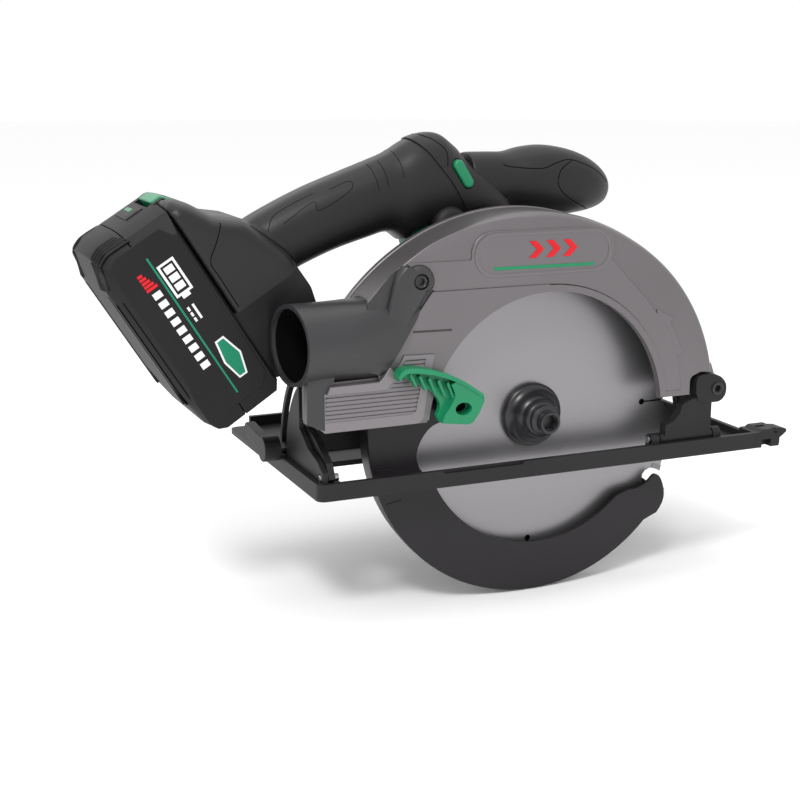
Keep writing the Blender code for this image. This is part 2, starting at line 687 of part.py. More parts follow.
def gear_case(saw):
    """Cast cover of the gear train, open towards the guard's far wall."""
    outer = hull_of_circles(ARBOR, 24.2, MOTOR, 33)
    inner = hull_of_circles(ARBOR, 21.7, MOTOR, 30)
    case = saw.add("gear_case", prism(outer, "Y", GUARD_FAR_Y + GAP, -4), "cast_metal")
    hollow = prism(inner, "Y", GUARD_FAR_Y - 5, -7)
    shaft = cylinder("Y", MOTOR, 9.4, -20, 5, 20)
    carve(case, hollow, shaft, cylinder("Y", lock_place(0), 2.9, -20, 5, 14))


def motor_housing(saw):
    housing = saw.add("motor_housing", ring("Y", MOTOR, 31, MOTOR_R, -3.7, 50, 36), "shell_black")
    for k in range(6):
        a = radians(20 * k + 130)
        centre = Vector((MOTOR_X + 33 * cos(a), 5, MOTOR_Z + 33 * sin(a)))
        cut = box((-4, -4.5, -1.2), (4, 2.5, 1.2))
        turn = Matrix.Rotation(-a, 4, "Y")
        bmesh.ops.transform(cut, matrix=Matrix.Translation(centre) @ turn, verts=cut.verts)
        carve(housing, cut)


def motor_end_cap(saw):
    """Domed plastic cap with slots and the pocket of the rear bearing."""
    profile = [(9.9, 50.6), (12.4, 50.6), (12.4, 58.5), (25, 58.5), (31, 50.3), (MOTOR_R, 50.3), (33, 55)]
    profile += [(26, 61.5), (0.01, 62), (0.01, 58.5), (9.9, 58.5)]
    cap = saw.add("motor_end_cap", turned(profile, "Y", MOTOR, 36), "shell_black")
    for k in range(8):
        a = radians(45 * k)
        centre = Vector((MOTOR_X + 19 * cos(a), 60, MOTOR_Z + 19 * sin(a)))
        cut = box((-5.5, -8, -1.3), (5.5, 8, 1.3))
        turn = Matrix.Rotation(-a, 4, "Y")
        bmesh.ops.transform(cut, matrix=Matrix.Translation(centre) @ turn, verts=cut.verts)
        carve(cap, cut)


def stator(saw):
    saw.add("stator", ring("Y", MOTOR, 21, 30.6, 10, 42, 28), "copper")


def spindle_lock(button):
    """Push button on the gear case whose pin enters a hole of the spindle gear."""
    profile = [(0.01, -11.3), (2.6, -11.3), (2.6, -0.8), (4.2, -0.8), (4.2, 3.2), (0.01, 3.2)]
    button.add("spindle_lock", turned(profile, "Y", lock_place(0), 14), "shell_black")


def lock_place(turn):
    return polar(ARBOR, 14, turn - 40)


# ---------------------------------------------------------------- handle

def grip_solid(shrink):
    rows = [(-166, 106, 28, 17, 17), (-150, 114, 28, 18, 17.5), (-133, 124, 26, 18, 17.5)]
    rows += [(-110, 134, 22, 18.5, 17.5), (-88, 141.5, 18, 19.5, 18), (-70, 147, 14, 21, 18)]
    rows += [(-56, 151, 6, 25.5, 18.5), (-42, 152, -6, 26, 18.5), (-30, 149, -20, 24.4, 18)]
    rows += [(-20, 144, -34, 20, 17.5), (-12, 138, -42, 16, 16.5)]
    return limb_of(rows, shrink)


def limb_of(rows, shrink, steps=20):
    """Skin over ovals given as x, z, heading, half thickness and half width, inset all round."""
    rings = []
    for index, (x, z, heading, thick, wide) in enumerate(rows):
        inward = shrink * ((index == 0) - (index == len(rows) - 1))
        x += inward * cos(radians(heading))
        z += inward * sin(radians(heading))
        rings.append(oval(x, z, heading, thick - shrink, wide - shrink, steps))
    return stack(rings)


def stem_solid(shrink):
    """Column from the grip's front end down to the motor housing."""
    return limb_of([(-14, 144, -90, 18, 16.5), (-11, 108, -90, 20, 17), (-8, 70, -90, 21, 17)], shrink)


def limb_solid(shrink):
    """Lower limb of the loop, from the foot forward to the motor housing."""
    rows = [(-136, 84, -35, 13, 15), (-112, 69, -22, 12, 15), (-80, 59, -12, 12, 15), (-36, 53, -4, 14, 15)]
    return limb_of(rows, shrink, 16)


def foot_solid(shrink):
    n0 = BATTERY_N[1] + GAP + (8.5 if shrink else 0)
    outline = [(-206.5, n0), (-206.5, -98.5), (-198.6, -91.4), (-186.5, -84.5), (-176, -72)]
    outline += [(-150, -62), (-128, -61), (-112, -65), (-97.5, -76), (-97.5, n0)]
    if shrink:
        outline = [(-186, n0), (-174, -76), (-150, -66), (-128, -65), (-114, -69), (-101, -79), (-101, n0)]
    half = FOOT_HALF_Y - shrink
    return battery_prism(outline, -half, half)


def handle_half(saw, name, side):
    """One of the two shells that meet on the handle's centre plane."""
    half = saw.add(name, grip_solid(0), "shell_black")
    weld(half, stem_solid(0), limb_solid(0), foot_solid(0))
    carve(half, grip_solid(WALL), stem_solid(WALL), limb_solid(WALL), foot_solid(WALL))
    for centre, wide in HANDLE_SCREWS:
        weld(half, cylinder("Y", centre, 4.2, 1.5 - wide, wide - 1.5, 12))
        carve(half, cylinder("Y", centre, 1.8, -9, 40, 10), cylinder("Y", centre, 4.0, wide - 5, 40, 12))
    for low, high in ((-60, -FOOT_FRONT_HALF_Y), (FOOT_FRONT_HALF_Y, 60)):
        carve(half, battery_box((-142, -80), (-110, -50), (low, high)))
    carve(half, cylinder("Y", MOTOR, MOTOR_R + GAP, -60, 60, 36))
    carve(half, *tongue_shapes(0.4, (-215, -99)), battery_box((-215, -199.4), (-105, -80), (-17.4, 17.4)))
    carve(half, *trigger_slot())
    carve(half, cylinder("Y", clamp_place(), 3.5, -30, 30, 12))
    if side < 0:
        carve(half, lock_off_shape(0.4, -30, 0))
    reach = (GAP / 2 - 100, GAP / 2) if side > 0 else (-GAP / 2, 100 - GAP / 2)
    carve(half, box((-300, reach[0], -100), (200, reach[1], 300)))
    for modifier in half.modifiers:      # the exact solver fails on this long chain of cuts
        modifier.solver = "MANIFOLD"


def tongue_shapes(clearance, u):
    """The battery's T-shaped tongue, as a neck and a wider head."""
    neck_n = (BATTERY_N[1] - 0.5, -99.5)
    head_n = (-100 - clearance, -96 + clearance)
    neck = NECK_HALF_Y + clearance
    head = TONGUE_HALF_Y + clearance
    shorter = (u[0] + 0.4, u[1] - 0.4)
    return battery_box(shorter, neck_n, (-neck, neck)), battery_box(u, head_n, (-head, head))


HANDLE_SCREWS = (((-104.0, 137.0), 17.5), ((-8.0, 108.0), 17.0), (battery_point(-160, -79), FOOT_HALF_Y))


def trigger_slot():
    """The wedge under the front of the grip, and the slot that the trigger moves in."""
    under = [(-62, 119.5), (-57.8, 127), (-41.5, 133.2), (-30, 138), (-30, 95), (-75, 95)]
    wedge = prism(under, "Y", -30, 30)
    slot = prism([(-59.4, 109), (-33.7, 109), (-33.7, 141.3), (-59.4, 133.7)], "Y", -8.5, 8.5)
    return wedge, slot


def lock_off_shape(clearance, low, high):
    """The cross-wise lock button: a pill standing nearly upright on the shell's side."""
    top = (-34.8, 163.5)
    bottom = (-27.0, 151.0)
    heading = degrees(atan2(top[1] - bottom[1], top[0] - bottom[0]))
    outline = arc(top, 3.6 + clearance, heading - 90, heading + 90, 6)
    outline += arc(bottom, 3.6 + clearance, heading + 90, heading + 270, 6)
    return prism(outline, "Y", low, high)


def lock_off(button):
    button.add("lock_off_button", lock_off_shape(0, -20.5, -6), "signal_green")


def trigger(pull):
    """Finger trigger, hinged at its front top inside the handle."""
    outline = [(-58, 123), (-58.5, 119), (-53, 113.5), (-46, 113), (-40, 117), (-36, 124), (-36, 134)]
    outline += [(-40, 137), (-54, 130)]
    pull.add("trigger", prism(outline, "Y", -8, 8), "signal_green")


def switch_block(saw):
    saw.add("switch", box((-60, -8, 139), (-36, 8, 158)), "shell_black")


def control_board(saw):
    outline = [(-146, -90), (-146, -76), (-108, -76), (-108, -90)]
    saw.add("control_board", battery_prism(outline, -26, -14), "board")


def terminal_block(saw):
    saw.add("terminal_block", battery_box((-106, -101.5), (-91, -80), (-12, 12)), "shell_black")


def front_handle(saw):
    """Rounded front handle that grows from the stem's top."""
    rows = [(-18, 150, 0, 15.2, 13.5), (-6, 151, 0, 15.6, 13.8), (4, 151.3, 0, 16.4, 15.2)]
    rows += [(14, 151.2, -1.5, 18.6, 17.6), (26, 150.8, -3.5, 19.4, 19)]
    rows += [(38, 149.4, -7, 18.4, 19), (48, 147.9, -11, 16.2, 18)]
    rows += [(56, 146.1, -14, 13.2, 15.4), (62, 144.2, -16, 9.4, 11.4), (66, 143, -16, 4.5, 5.5)]
    handle = saw.add("front_handle", stack([oval(*row) for row in rows]), "grip_rubber")
    room = grip_solid(-GAP)
    stem = stem_solid(-GAP)
    carve(handle, room, stem)


def handle_screw(saw, name, centre, wide):
    """Screw from the left shell into the right one."""
    head = wide - 4.7
    profile = [(0.01, -7), (1.5, -7), (1.5, head), (3.6, head), (3.6, head + 2.4), (0.01, head + 2.4)]
    saw.add(name, turned(profile, "Y", centre, 10), "black_steel")


# ---------------------------------------------------------------- battery

def battery_outline(inset):
    u0, u1 = BATTERY_U
    n0, n1 = BATTERY_N
    return [(u0 + inset, n0 + 9), (u0 + 20, n0 + inset), (-128, n0 + inset), (-112, n0 + 2 + inset),
            (u1 - inset, n0 + 9), (u1 - inset, n1 - inset), (u0 + inset, n1 - inset)]


def battery_shell(pack, name, keep):
    """One of the pack's two shells, kept between two levels across the battery."""
    shell = pack.add(name, battery_prism(battery_outline(0), -BATTERY_HALF_Y, BATTERY_HALF_Y), "shell_black")
    half = BATTERY_HALF_Y - 2.4
    carve(shell, battery_prism(battery_outline(2.4), -half, half))
    carve(shell, battery_box((-230, -80), keep, (-60, 60)))
    return shell


def battery(pack):
    split = -128.0
    battery_shell(pack, "battery_bottom", (split - GAP / 2, -80))
    top = battery_shell(pack, "battery_top", (-170, split + GAP / 2))
    weld(top, *tongue_shapes(0, (-198.6, -108)))
    for low, high in ((-17, -13.6), (13.6, 17)):
        weld(top, battery_prism(crest_outline(-207, -105), low, high))
    carve(top, battery_box((-212, -199.9), (-108.2, -90), (-13.3, 13.3)))
    for k in range(5):
        cell_pair(pack, f"cell_pair_{k + 1}", BATTERY_MIDDLE + (k - 2) * 18.7)


def cell_pair(pack, name, u):
    """Two round cells side by side, joined by a welded strip on each end."""
    half = CELL_LENGTH / 2
    levels = (-136.2, -117.8)
    cells = [cylinder("Y", battery_point(u, n), CELL_R, -half, half, 14) for n in levels]
    pair = pack.add(name, cells[0], "cell_wrap")
    strips = [battery_box((u - 3, u + 3), levels, (y - 0.4, y + 0.4)) for y in (-half, half)]
    weld(pair, cells[1], *strips)


def crest_outline(end, bottom):
    """The raised end of the pack's top, where the release button sits."""
    return [(end, bottom), (end, -99.6), (end + 5.6, -94.6), (-200, -94.6), (-200, bottom)]


def battery_release(button):
    button.add("battery_release", battery_prism(crest_outline(-207.6, -105.2), -12.9, 12.9), "signal_green")


# ---------------------------------------------------------------- assembly

def build():
    slide = battery_point(BATTERY_U[0], BATTERY_N[1])
    base = Body("base")
    frame = Body("bevel_frame", (0, TILT_Y, TILT_Z), base)
    saw = Body("saw_body", (PIVOT_X, 0, PIVOT_Z), frame)
    arbor = Body("arbor", (0, BLADE_Y, ARBOR_Z), saw)
    rotor = Body("rotor", (MOTOR_X, 0, MOTOR_Z), saw)
    swing = Body("guard_swing", (0, BLADE_Y, ARBOR_Z), saw)
    pack = Body("battery", (slide[0], 0, slide[1]), saw)

    base_plate(base)
    bevel_quadrant(base)
    bevel_pin(base, "bevel_pin_front", 65, 112.5)
    bevel_pin(base, "bevel_pin_rear", -128.9, -119)

    front_bracket(frame)
    rear_bracket(frame)
    depth_link(frame)
    link_screw(frame)
    depth_pivot_bolt(frame)
    bevel_bolt(frame)
    bolt = bevel_bolt_place()
    bevel_lever(Body("bevel_lever", (-137, bolt[0], bolt[1]), frame))

    upper_guard(saw)
    dust_nozzle(saw)
    nozzle_screw(saw)
    guard_retainer(saw)
    guard_spring(saw)
    guard_stop(saw)
    gear_case(saw)
    motor_housing(saw)
    motor_end_cap(saw)
    stator(saw)
    bearing(saw, "spindle_bearing_near", ARBOR, 7.9, 16.0, -29.8, -23.5)
    bearing(saw, "spindle_bearing_far", ARBOR, 6.3, 10.8, -11.5, -7.3)
    bearing(saw, "rotor_bearing_front", MOTOR, 3.5, 9.1, -9, -4)
    bearing(saw, "rotor_bearing_rear", MOTOR, 3.5, 9.5, 51, 57.5)
    handle_half(saw, "handle_right", -1)
    handle_half(saw, "handle_left", 1)
    front_handle(saw)
    for index, (centre, wide) in enumerate(HANDLE_SCREWS):
        handle_screw(saw, f"handle_screw_{index + 1}", centre, wide)
    switch_block(saw)
    control_board(saw)
    terminal_block(saw)
    depth_bolt(saw)
    clamp = clamp_place()
    depth_lever(Body("depth_lever", (clamp[0], 20, clamp[1]), saw))

    blade(arbor)
    outer_flange(arbor)
    inner_flange(arbor)
    blade_bolt(arbor)
    spindle(arbor)
    spindle_gear(arbor)

    rotor_shaft(rotor)
    rotor_core(rotor)
    cooling_fan(rotor)

    lower_guard(swing)
    guard_lever(swing)

    trigger(Body("trigger", (-38, 0, 134), saw))
    lock = lock_place(0)
    spindle_lock(Body("spindle_lock", (lock[0], 0, lock[1]), saw))
    lock_off(Body("lock_off", (-31, -14, 157), saw))

    battery(pack)
    battery_release(Body("battery_release", (slide[0], 0, slide[1]), pack))


clear_scene()
FINISH = make_materials()
build()
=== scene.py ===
"""Looks of the cordless circular saw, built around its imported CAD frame.

Lengths in the shape functions are millimetres in the CAD's own frame; MM makes them metres.
Every piece is drawn where it lies at rest, so its object stays at the origin.
"""
import json
from math import atan2, cos, degrees, pi, radians, sin

import bmesh
import bpy
from mathutils import Matrix, Vector
from mathutils.bvhtree import BVHTree

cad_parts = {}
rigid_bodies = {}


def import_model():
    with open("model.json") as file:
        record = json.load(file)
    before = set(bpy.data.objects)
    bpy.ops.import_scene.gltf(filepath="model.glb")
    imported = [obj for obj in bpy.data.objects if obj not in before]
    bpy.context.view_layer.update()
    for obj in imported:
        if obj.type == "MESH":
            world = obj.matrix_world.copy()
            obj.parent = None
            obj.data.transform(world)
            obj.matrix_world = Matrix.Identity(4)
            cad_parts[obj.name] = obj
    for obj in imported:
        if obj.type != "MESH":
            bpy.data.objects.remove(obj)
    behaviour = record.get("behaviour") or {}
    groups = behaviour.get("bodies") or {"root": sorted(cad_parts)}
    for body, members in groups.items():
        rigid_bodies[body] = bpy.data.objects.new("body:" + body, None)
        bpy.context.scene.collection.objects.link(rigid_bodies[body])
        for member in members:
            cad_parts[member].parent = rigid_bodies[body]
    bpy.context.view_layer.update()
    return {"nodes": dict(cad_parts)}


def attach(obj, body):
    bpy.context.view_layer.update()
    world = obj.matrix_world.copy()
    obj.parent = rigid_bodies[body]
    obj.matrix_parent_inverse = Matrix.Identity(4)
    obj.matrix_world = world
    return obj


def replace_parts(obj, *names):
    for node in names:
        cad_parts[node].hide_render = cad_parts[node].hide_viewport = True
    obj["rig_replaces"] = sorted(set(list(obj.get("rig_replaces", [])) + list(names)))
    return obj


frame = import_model()

# Places and sizes in millimetres; pairs are X and Z unless a name says otherwise.
MM = 0.001
ARBOR = (0.0, 28.0)
MOTOR = (25 * cos(radians(125)), 28 + 25 * sin(radians(125)))
MOTOR_R = 34.0
GUARD_NEAR = -60.0
GUARD_FAR = -28.0
GUARD_BOTTOM = 34.5
GUARD_STEPS = 90
PIVOT = (107.5, 36.8)
PIVOT_R = 3.3
MOUTH = Vector((-141.0, -50.0, 78.4))
SPOUT_R = 20.7
NOZZLE_TURN = radians(9.5)
NOZZLE_SCREW = (-75.6, 108.4)
WING_SLANT = Vector((0.837, 0.0, -0.547))
LEVER_HOLE = (-54.6, 42.6)
BLADE_TEETH = 24
BLADE_FACES = (-40.9, -39.1)
SLOT_HOLE_AT = 71.3
VOXEL = 1.15
HALF_GAP = 0.12
BATTERY_DEG = 58.0
BATTERY_U = (-207.0, -97.5)
BATTERY_N = (-150.0, -104.0)
BATTERY_HALF = 38.0
BATTERY_SPLIT = -128.0
PRINT_RISE = 0.42
FOOT_HALF = 35.0
FOOT_FRONT_HALF = 27.4
BASE_X = (-132.0, 136.5)
BASE_Y = (-65.0, 89.0)
BASE_THICK = 9
TILT_YZ = (-58.0, 10.5)
TILT_R = 3.4
TILT_BORE = 2.3
FLOOR_Z = -71.1
FLOOR_R = 6000
SHARP = 32

# The camera, in metres and degrees.
CAMERA_AT = (-0.3695, -0.7202, 0.2188)
CAMERA_DOWN = 13.38
CAMERA_HEADING = -23.27
CAMERA_LENS = 65.3


# Outlines and solids

def arc(centre, radius, start, end, steps):
    angles = [radians(start + (end - start) * i / steps) for i in range(steps + 1)]
    return [(centre[0] + radius * cos(a), centre[1] + radius * sin(a)) for a in angles]


def rect(x0, z0, x1, z1):
    return [(x0, z0), (x1, z0), (x1, z1), (x0, z1)]


def polar(centre, radius, angle):
    return (centre[0] + radius * cos(radians(angle)), centre[1] + radius * sin(radians(angle)))


def place(point, along, axis="Y"):
    """A point of an outline drawn square to the axis: XZ for Y, YZ for X, XY for Z."""
    if axis == "Y":
        return Vector((point[0], along, point[1]))
    if axis == "X":
        return Vector((along, point[0], point[1]))
    return Vector((point[0], point[1], along))


def ring(outline, y):
    return [place(point, y) for point in outline]


def stack(rings, closed=False):
    """A solid skinned over rings of equal length, with flat ends unless it closes on itself."""
    bm = bmesh.new()
    loops = [[bm.verts.new(point) for point in ring] for ring in rings]
    pairs = list(zip(loops, loops[1:]))
    if closed:
        pairs.append((loops[-1], loops[0]))
    for low, high in pairs:
        for i in range(len(low)):
            j = (i + 1) % len(low)
            bm.faces.new((low[i], low[j], high[j], high[i]))
    if not closed:
        bm.faces.new(loops[0])
        bm.faces.new(loops[-1])
    return bm


def prism(outline, low, high, axis="Y"):
    return stack([[place(point, along, axis) for point in outline] for along in (low, high)])


def box(low, high):
    return prism(rect(low[0], low[1], high[0], high[1]), low[2], high[2], "Z")


def cylinder(centre, radius, low, high, steps=48, axis="Y"):
    return prism(arc(centre, radius, 0, 360, steps)[:-1], low, high, axis)


def turned(profile, centre, steps):
    """A profile of radius and Y, turned about an axis along Y."""
    rings = []
    for i in range(steps):
        a = 2 * pi * i / steps
        rings.append([place((centre[0] + r * cos(a), centre[1] + r * sin(a)), y) for r, y in profile])
    return stack(rings, closed=True)


def round_box(low, high, radius, steps):
    """Outline of a rectangle with round corners."""
    points = []
    corners = ((high[0], high[1], 0), (low[0], high[1], 90), (low[0], low[1], 180),
               (high[0], low[1], 270))
    for x, z, start in corners:
        cx = x - radius if x == high[0] else x + radius
        cz = z - radius if z == high[1] else z + radius
        points += arc((cx, cz), radius, start, start + 90, steps)
    return points


def bulge(value, power):
    """A cosine or sine squared off for a superellipse of the given power."""
    return abs(value) ** (2 / power) * (1 if value >= 0 else -1)


def oval(x, z, heading, half_thick, half_wide, steps, power=2.4):
    """A superellipse ring, square to a path in the XZ plane that runs at the heading."""
    normal = Vector((-sin(radians(heading)), 0.0, cos(radians(heading))))
    points = []
    for i in range(steps):
        turn = 2 * pi * i / steps
        across = half_wide * bulge(cos(turn), power)
        points.append(Vector((x, across, z)) + normal * (half_thick * bulge(sin(turn), power)))
    return points


def eased(rows, between=5):
    """Rows of numbers with smooth rows put between them (Catmull-Rom)."""
    made = []
    for i in range(len(rows) - 1):
        p0 = rows[max(i - 1, 0)]
        p1 = rows[i]
        p2 = rows[i + 1]
        p3 = rows[min(i + 2, len(rows) - 1)]
        for k in range(between):
            t = k / between
            made.append(tuple(
                0.5 * (2 * b + (c - a) * t + (2 * a - 5 * b + 4 * c - d) * t * t
                       + (3 * b - a - 3 * c + d) * t ** 3)
                for a, b, c, d in zip(p0, p1, p2, p3)))
    made.append(tuple(rows[-1]))
    return made


def battery_point(u, n):
    """World X and Z of a point given along and across the battery's slide."""
    c = cos(radians(BATTERY_DEG))
    s = sin(radians(BATTERY_DEG))
    return (u * c + n * s, ARBOR[1] - u * s + n * c)


def battery_prism(outline, low_y, high_y):
    return prism([battery_point(u, n) for u, n in outline], low_y, high_y)


def battery_box(u, n, y):
    return battery_prism(rect(u[0], n[0], u[1], n[1]), *y)


def tube_mesh(path, radius, sides=8):
    rings = []
    offsets = [Vector((cos(2 * pi * k / sides), sin(2 * pi * k / sides), 0)) for k in range(sides)]
    for i, point in enumerate(path):
        before = path[max(i - 1, 0)]
        after = path[min(i + 1, len(path) - 1)]
        turn = (after - before).to_track_quat("Z", "Y").to_matrix()
        rings.append([point + turn @ (offset * radius) for offset in offsets])
    return stack(rings)


# Objects

def shade(mesh, sharp):
    mesh.shade_smooth()
    mesh.set_sharp_from_angle(angle=radians(sharp))


def new_object(name, bm, sharp=SHARP):
    """Link a mesh that is in millimetres, with its edges over the angle kept sharp."""
    bmesh.ops.recalc_face_normals(bm, faces=bm.faces)
    bmesh.ops.scale(bm, vec=(MM, MM, MM), verts=bm.verts)
    mesh = bpy.data.meshes.new(name)
    bm.to_mesh(mesh)
    bm.free()
    shade(mesh, sharp)
    obj = bpy.data.objects.new(name, mesh)
    bpy.context.scene.collection.objects.link(obj)
    return obj


def combine(obj, operation, shapes, solver="EXACT"):
    """Boolean obj with each shape, a mesh in millimetres, and keep only the result."""
    tools = []
    for shape in shapes:
        tool = new_object("tool", shape)
        modifier = obj.modifiers.new("Boolean", "BOOLEAN")
        modifier.operation = operation
        modifier.solver = solver
        modifier.object = tool
        tools.append(tool)
    settle(obj)
    for tool in tools:
        bpy.data.objects.remove(tool)
    return obj


def carve(obj, *shapes, solver="EXACT"):
    return combine(obj, "DIFFERENCE", shapes, solver)


def weld(obj, *shapes):
    return combine(obj, "UNION", shapes)


def settle(obj, sharp=SHARP):
    """Turn obj's modifiers into its mesh."""
    bpy.context.view_layer.update()
    evaluated = obj.evaluated_get(bpy.context.evaluated_depsgraph_get())
    mesh = bpy.data.meshes.new_from_object(evaluated)
    obj.modifiers.clear()
    obj.data = mesh
    shade(mesh, sharp)
    return obj


def soften(obj, width, segments=2, angle=35):
    """Round the edges; the width is in millimetres."""
    modifier = obj.modifiers.new("Bevel", "BEVEL")
    modifier.width = width * MM
    modifier.segments = segments
    modifier.limit_method = "ANGLE"
    modifier.angle_limit = radians(angle)
    modifier.harden_normals = True
    return obj


def melt(obj, voxel, rounds):
    """Merge overlapping solids into one skin with soft junctions."""
    remesh = obj.modifiers.new("Remesh", "REMESH")
    remesh.mode = "VOXEL"
    remesh.voxel_size = voxel * MM
    smooth = obj.modifiers.new("Smooth", "SMOOTH")
    smooth.factor = 0.5
    smooth.iterations = rounds
    return settle(obj, 40)


def paint(obj, finish):
    """Give obj a finish, which is a key of FINISH."""
    obj.data.materials.clear()
    obj.data.materials.append(FINISH[finish])


def dress(obj, finish, body="saw_body", replaces=()):
    """Give a piece its finish and its body, and name the CAD nodes that it stands for."""
    paint(obj, finish)
    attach(obj, body)
    if replaces:
        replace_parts(obj, *replaces)
    return obj


def piece(name, bm, finish, body="saw_body", bevel=0.0, replaces=(), sharp=SHARP, add=(), cut=(),
          segments=2):
    """A piece in one call, with the solids that are added to it and then cut from it."""
    obj = new_object(name, bm, sharp)
    if add:
        weld(obj, *add)
    if cut:
        carve(obj, *cut)
    if bevel:
        soften(obj, bevel, segments)
    return dress(obj, finish, body, replaces)


def carry(node, finish, bevel):
    """Keep a CAD node, rounding its edges and giving it a better finish."""
    obj = frame["nodes"][node]
    if bevel:
        merge = obj.modifiers.new("Weld", "WELD")
        merge.merge_threshold = 0.00001
        flat = obj.modifiers.new("Planar", "DECIMATE")
        flat.decimate_type = "DISSOLVE"
        flat.angle_limit = radians(1.0)
        soften(obj, bevel, 3)
    paint(obj, finish)


# Materials

COAT_ROUGHNESS = 0.2
GLOSS_DRIFT = 0.04
GRAIN_DEPTH = 0.0004


def feed(node, values):
    for name, value in values.items():
        node.inputs[name].default_value = value


def surface(name, color, roughness, metallic, mottle, patch, grain, bump, specular=0.5, coat=0.0,
            rings=False):
    """A finish with slight colour drift, uneven gloss and a fine grain."""
    material = bpy.data.materials.new(name)
    material.use_nodes = True
    nodes = material.node_tree.nodes
    links = material.node_tree.links
    shader = nodes["Principled BSDF"]
    feed(shader, {"Metallic": metallic, "Coat Weight": coat, "Coat Roughness": COAT_ROUGHNESS,
                  "Specular IOR Level": specular})
    where = nodes.new("ShaderNodeTexCoord").outputs["Object"]
    drift = nodes.new("ShaderNodeTexNoise")
    feed(drift, {"Scale": patch, "Detail": 3.0})
    links.new(where, drift.inputs["Vector"])
    ramp = nodes.new("ShaderNodeValToRGB")
    for stop, place_on_ramp, sign in zip(ramp.color_ramp.elements, (0.3, 0.7), (-1, 1)):
        stop.position = place_on_ramp
        stop.color = [min(1.0, c * (1 + sign * mottle)) for c in color] + [1.0]
    links.new(drift.outputs["Fac"], ramp.inputs["Fac"])
    links.new(ramp.outputs["Color"], shader.inputs["Base Color"])
    gloss = nodes.new("ShaderNodeMapRange")
    feed(gloss, {"To Min": roughness - GLOSS_DRIFT, "To Max": roughness + GLOSS_DRIFT})
    links.new(drift.outputs["Fac"], gloss.inputs["Value"])
    links.new(gloss.outputs["Result"], shader.inputs["Roughness"])
    fine = nodes.new("ShaderNodeTexNoise")
    feed(fine, {"Scale": grain, "Detail": 2.0})
    links.new(ring_coordinates(nodes, links, where) if rings else where, fine.inputs["Vector"])
    relief = nodes.new("ShaderNodeBump")
    feed(relief, {"Strength": bump, "Distance": GRAIN_DEPTH})
    links.new(fine.outputs["Fac"], relief.inputs["Height"])
    links.new(relief.outputs["Normal"], shader.inputs["Normal"])
    return material


def vector_math(nodes, links, operation, vector, operand=None):
    node = nodes.new("ShaderNodeVectorMath")
    node.operation = operation
    links.new(vector, node.inputs[0])
    if operand:
        node.inputs[1].default_value = operand
    return node


def ring_coordinates(nodes, links, where):
    """The distance from the arbor's axis as a vector, for marks that run round it."""
    shift = vector_math(nodes, links, "SUBTRACT", where, (0.0, 0.0, ARBOR[1] * MM))
    flat = vector_math(nodes, links, "MULTIPLY", shift.outputs["Vector"], (1.0, 0.0, 1.0))
    length = vector_math(nodes, links, "LENGTH", flat.outputs["Vector"])
    spread = nodes.new("ShaderNodeCombineXYZ")
    links.new(length.outputs["Value"], spread.inputs["X"])
    return spread.outputs["Vector"]


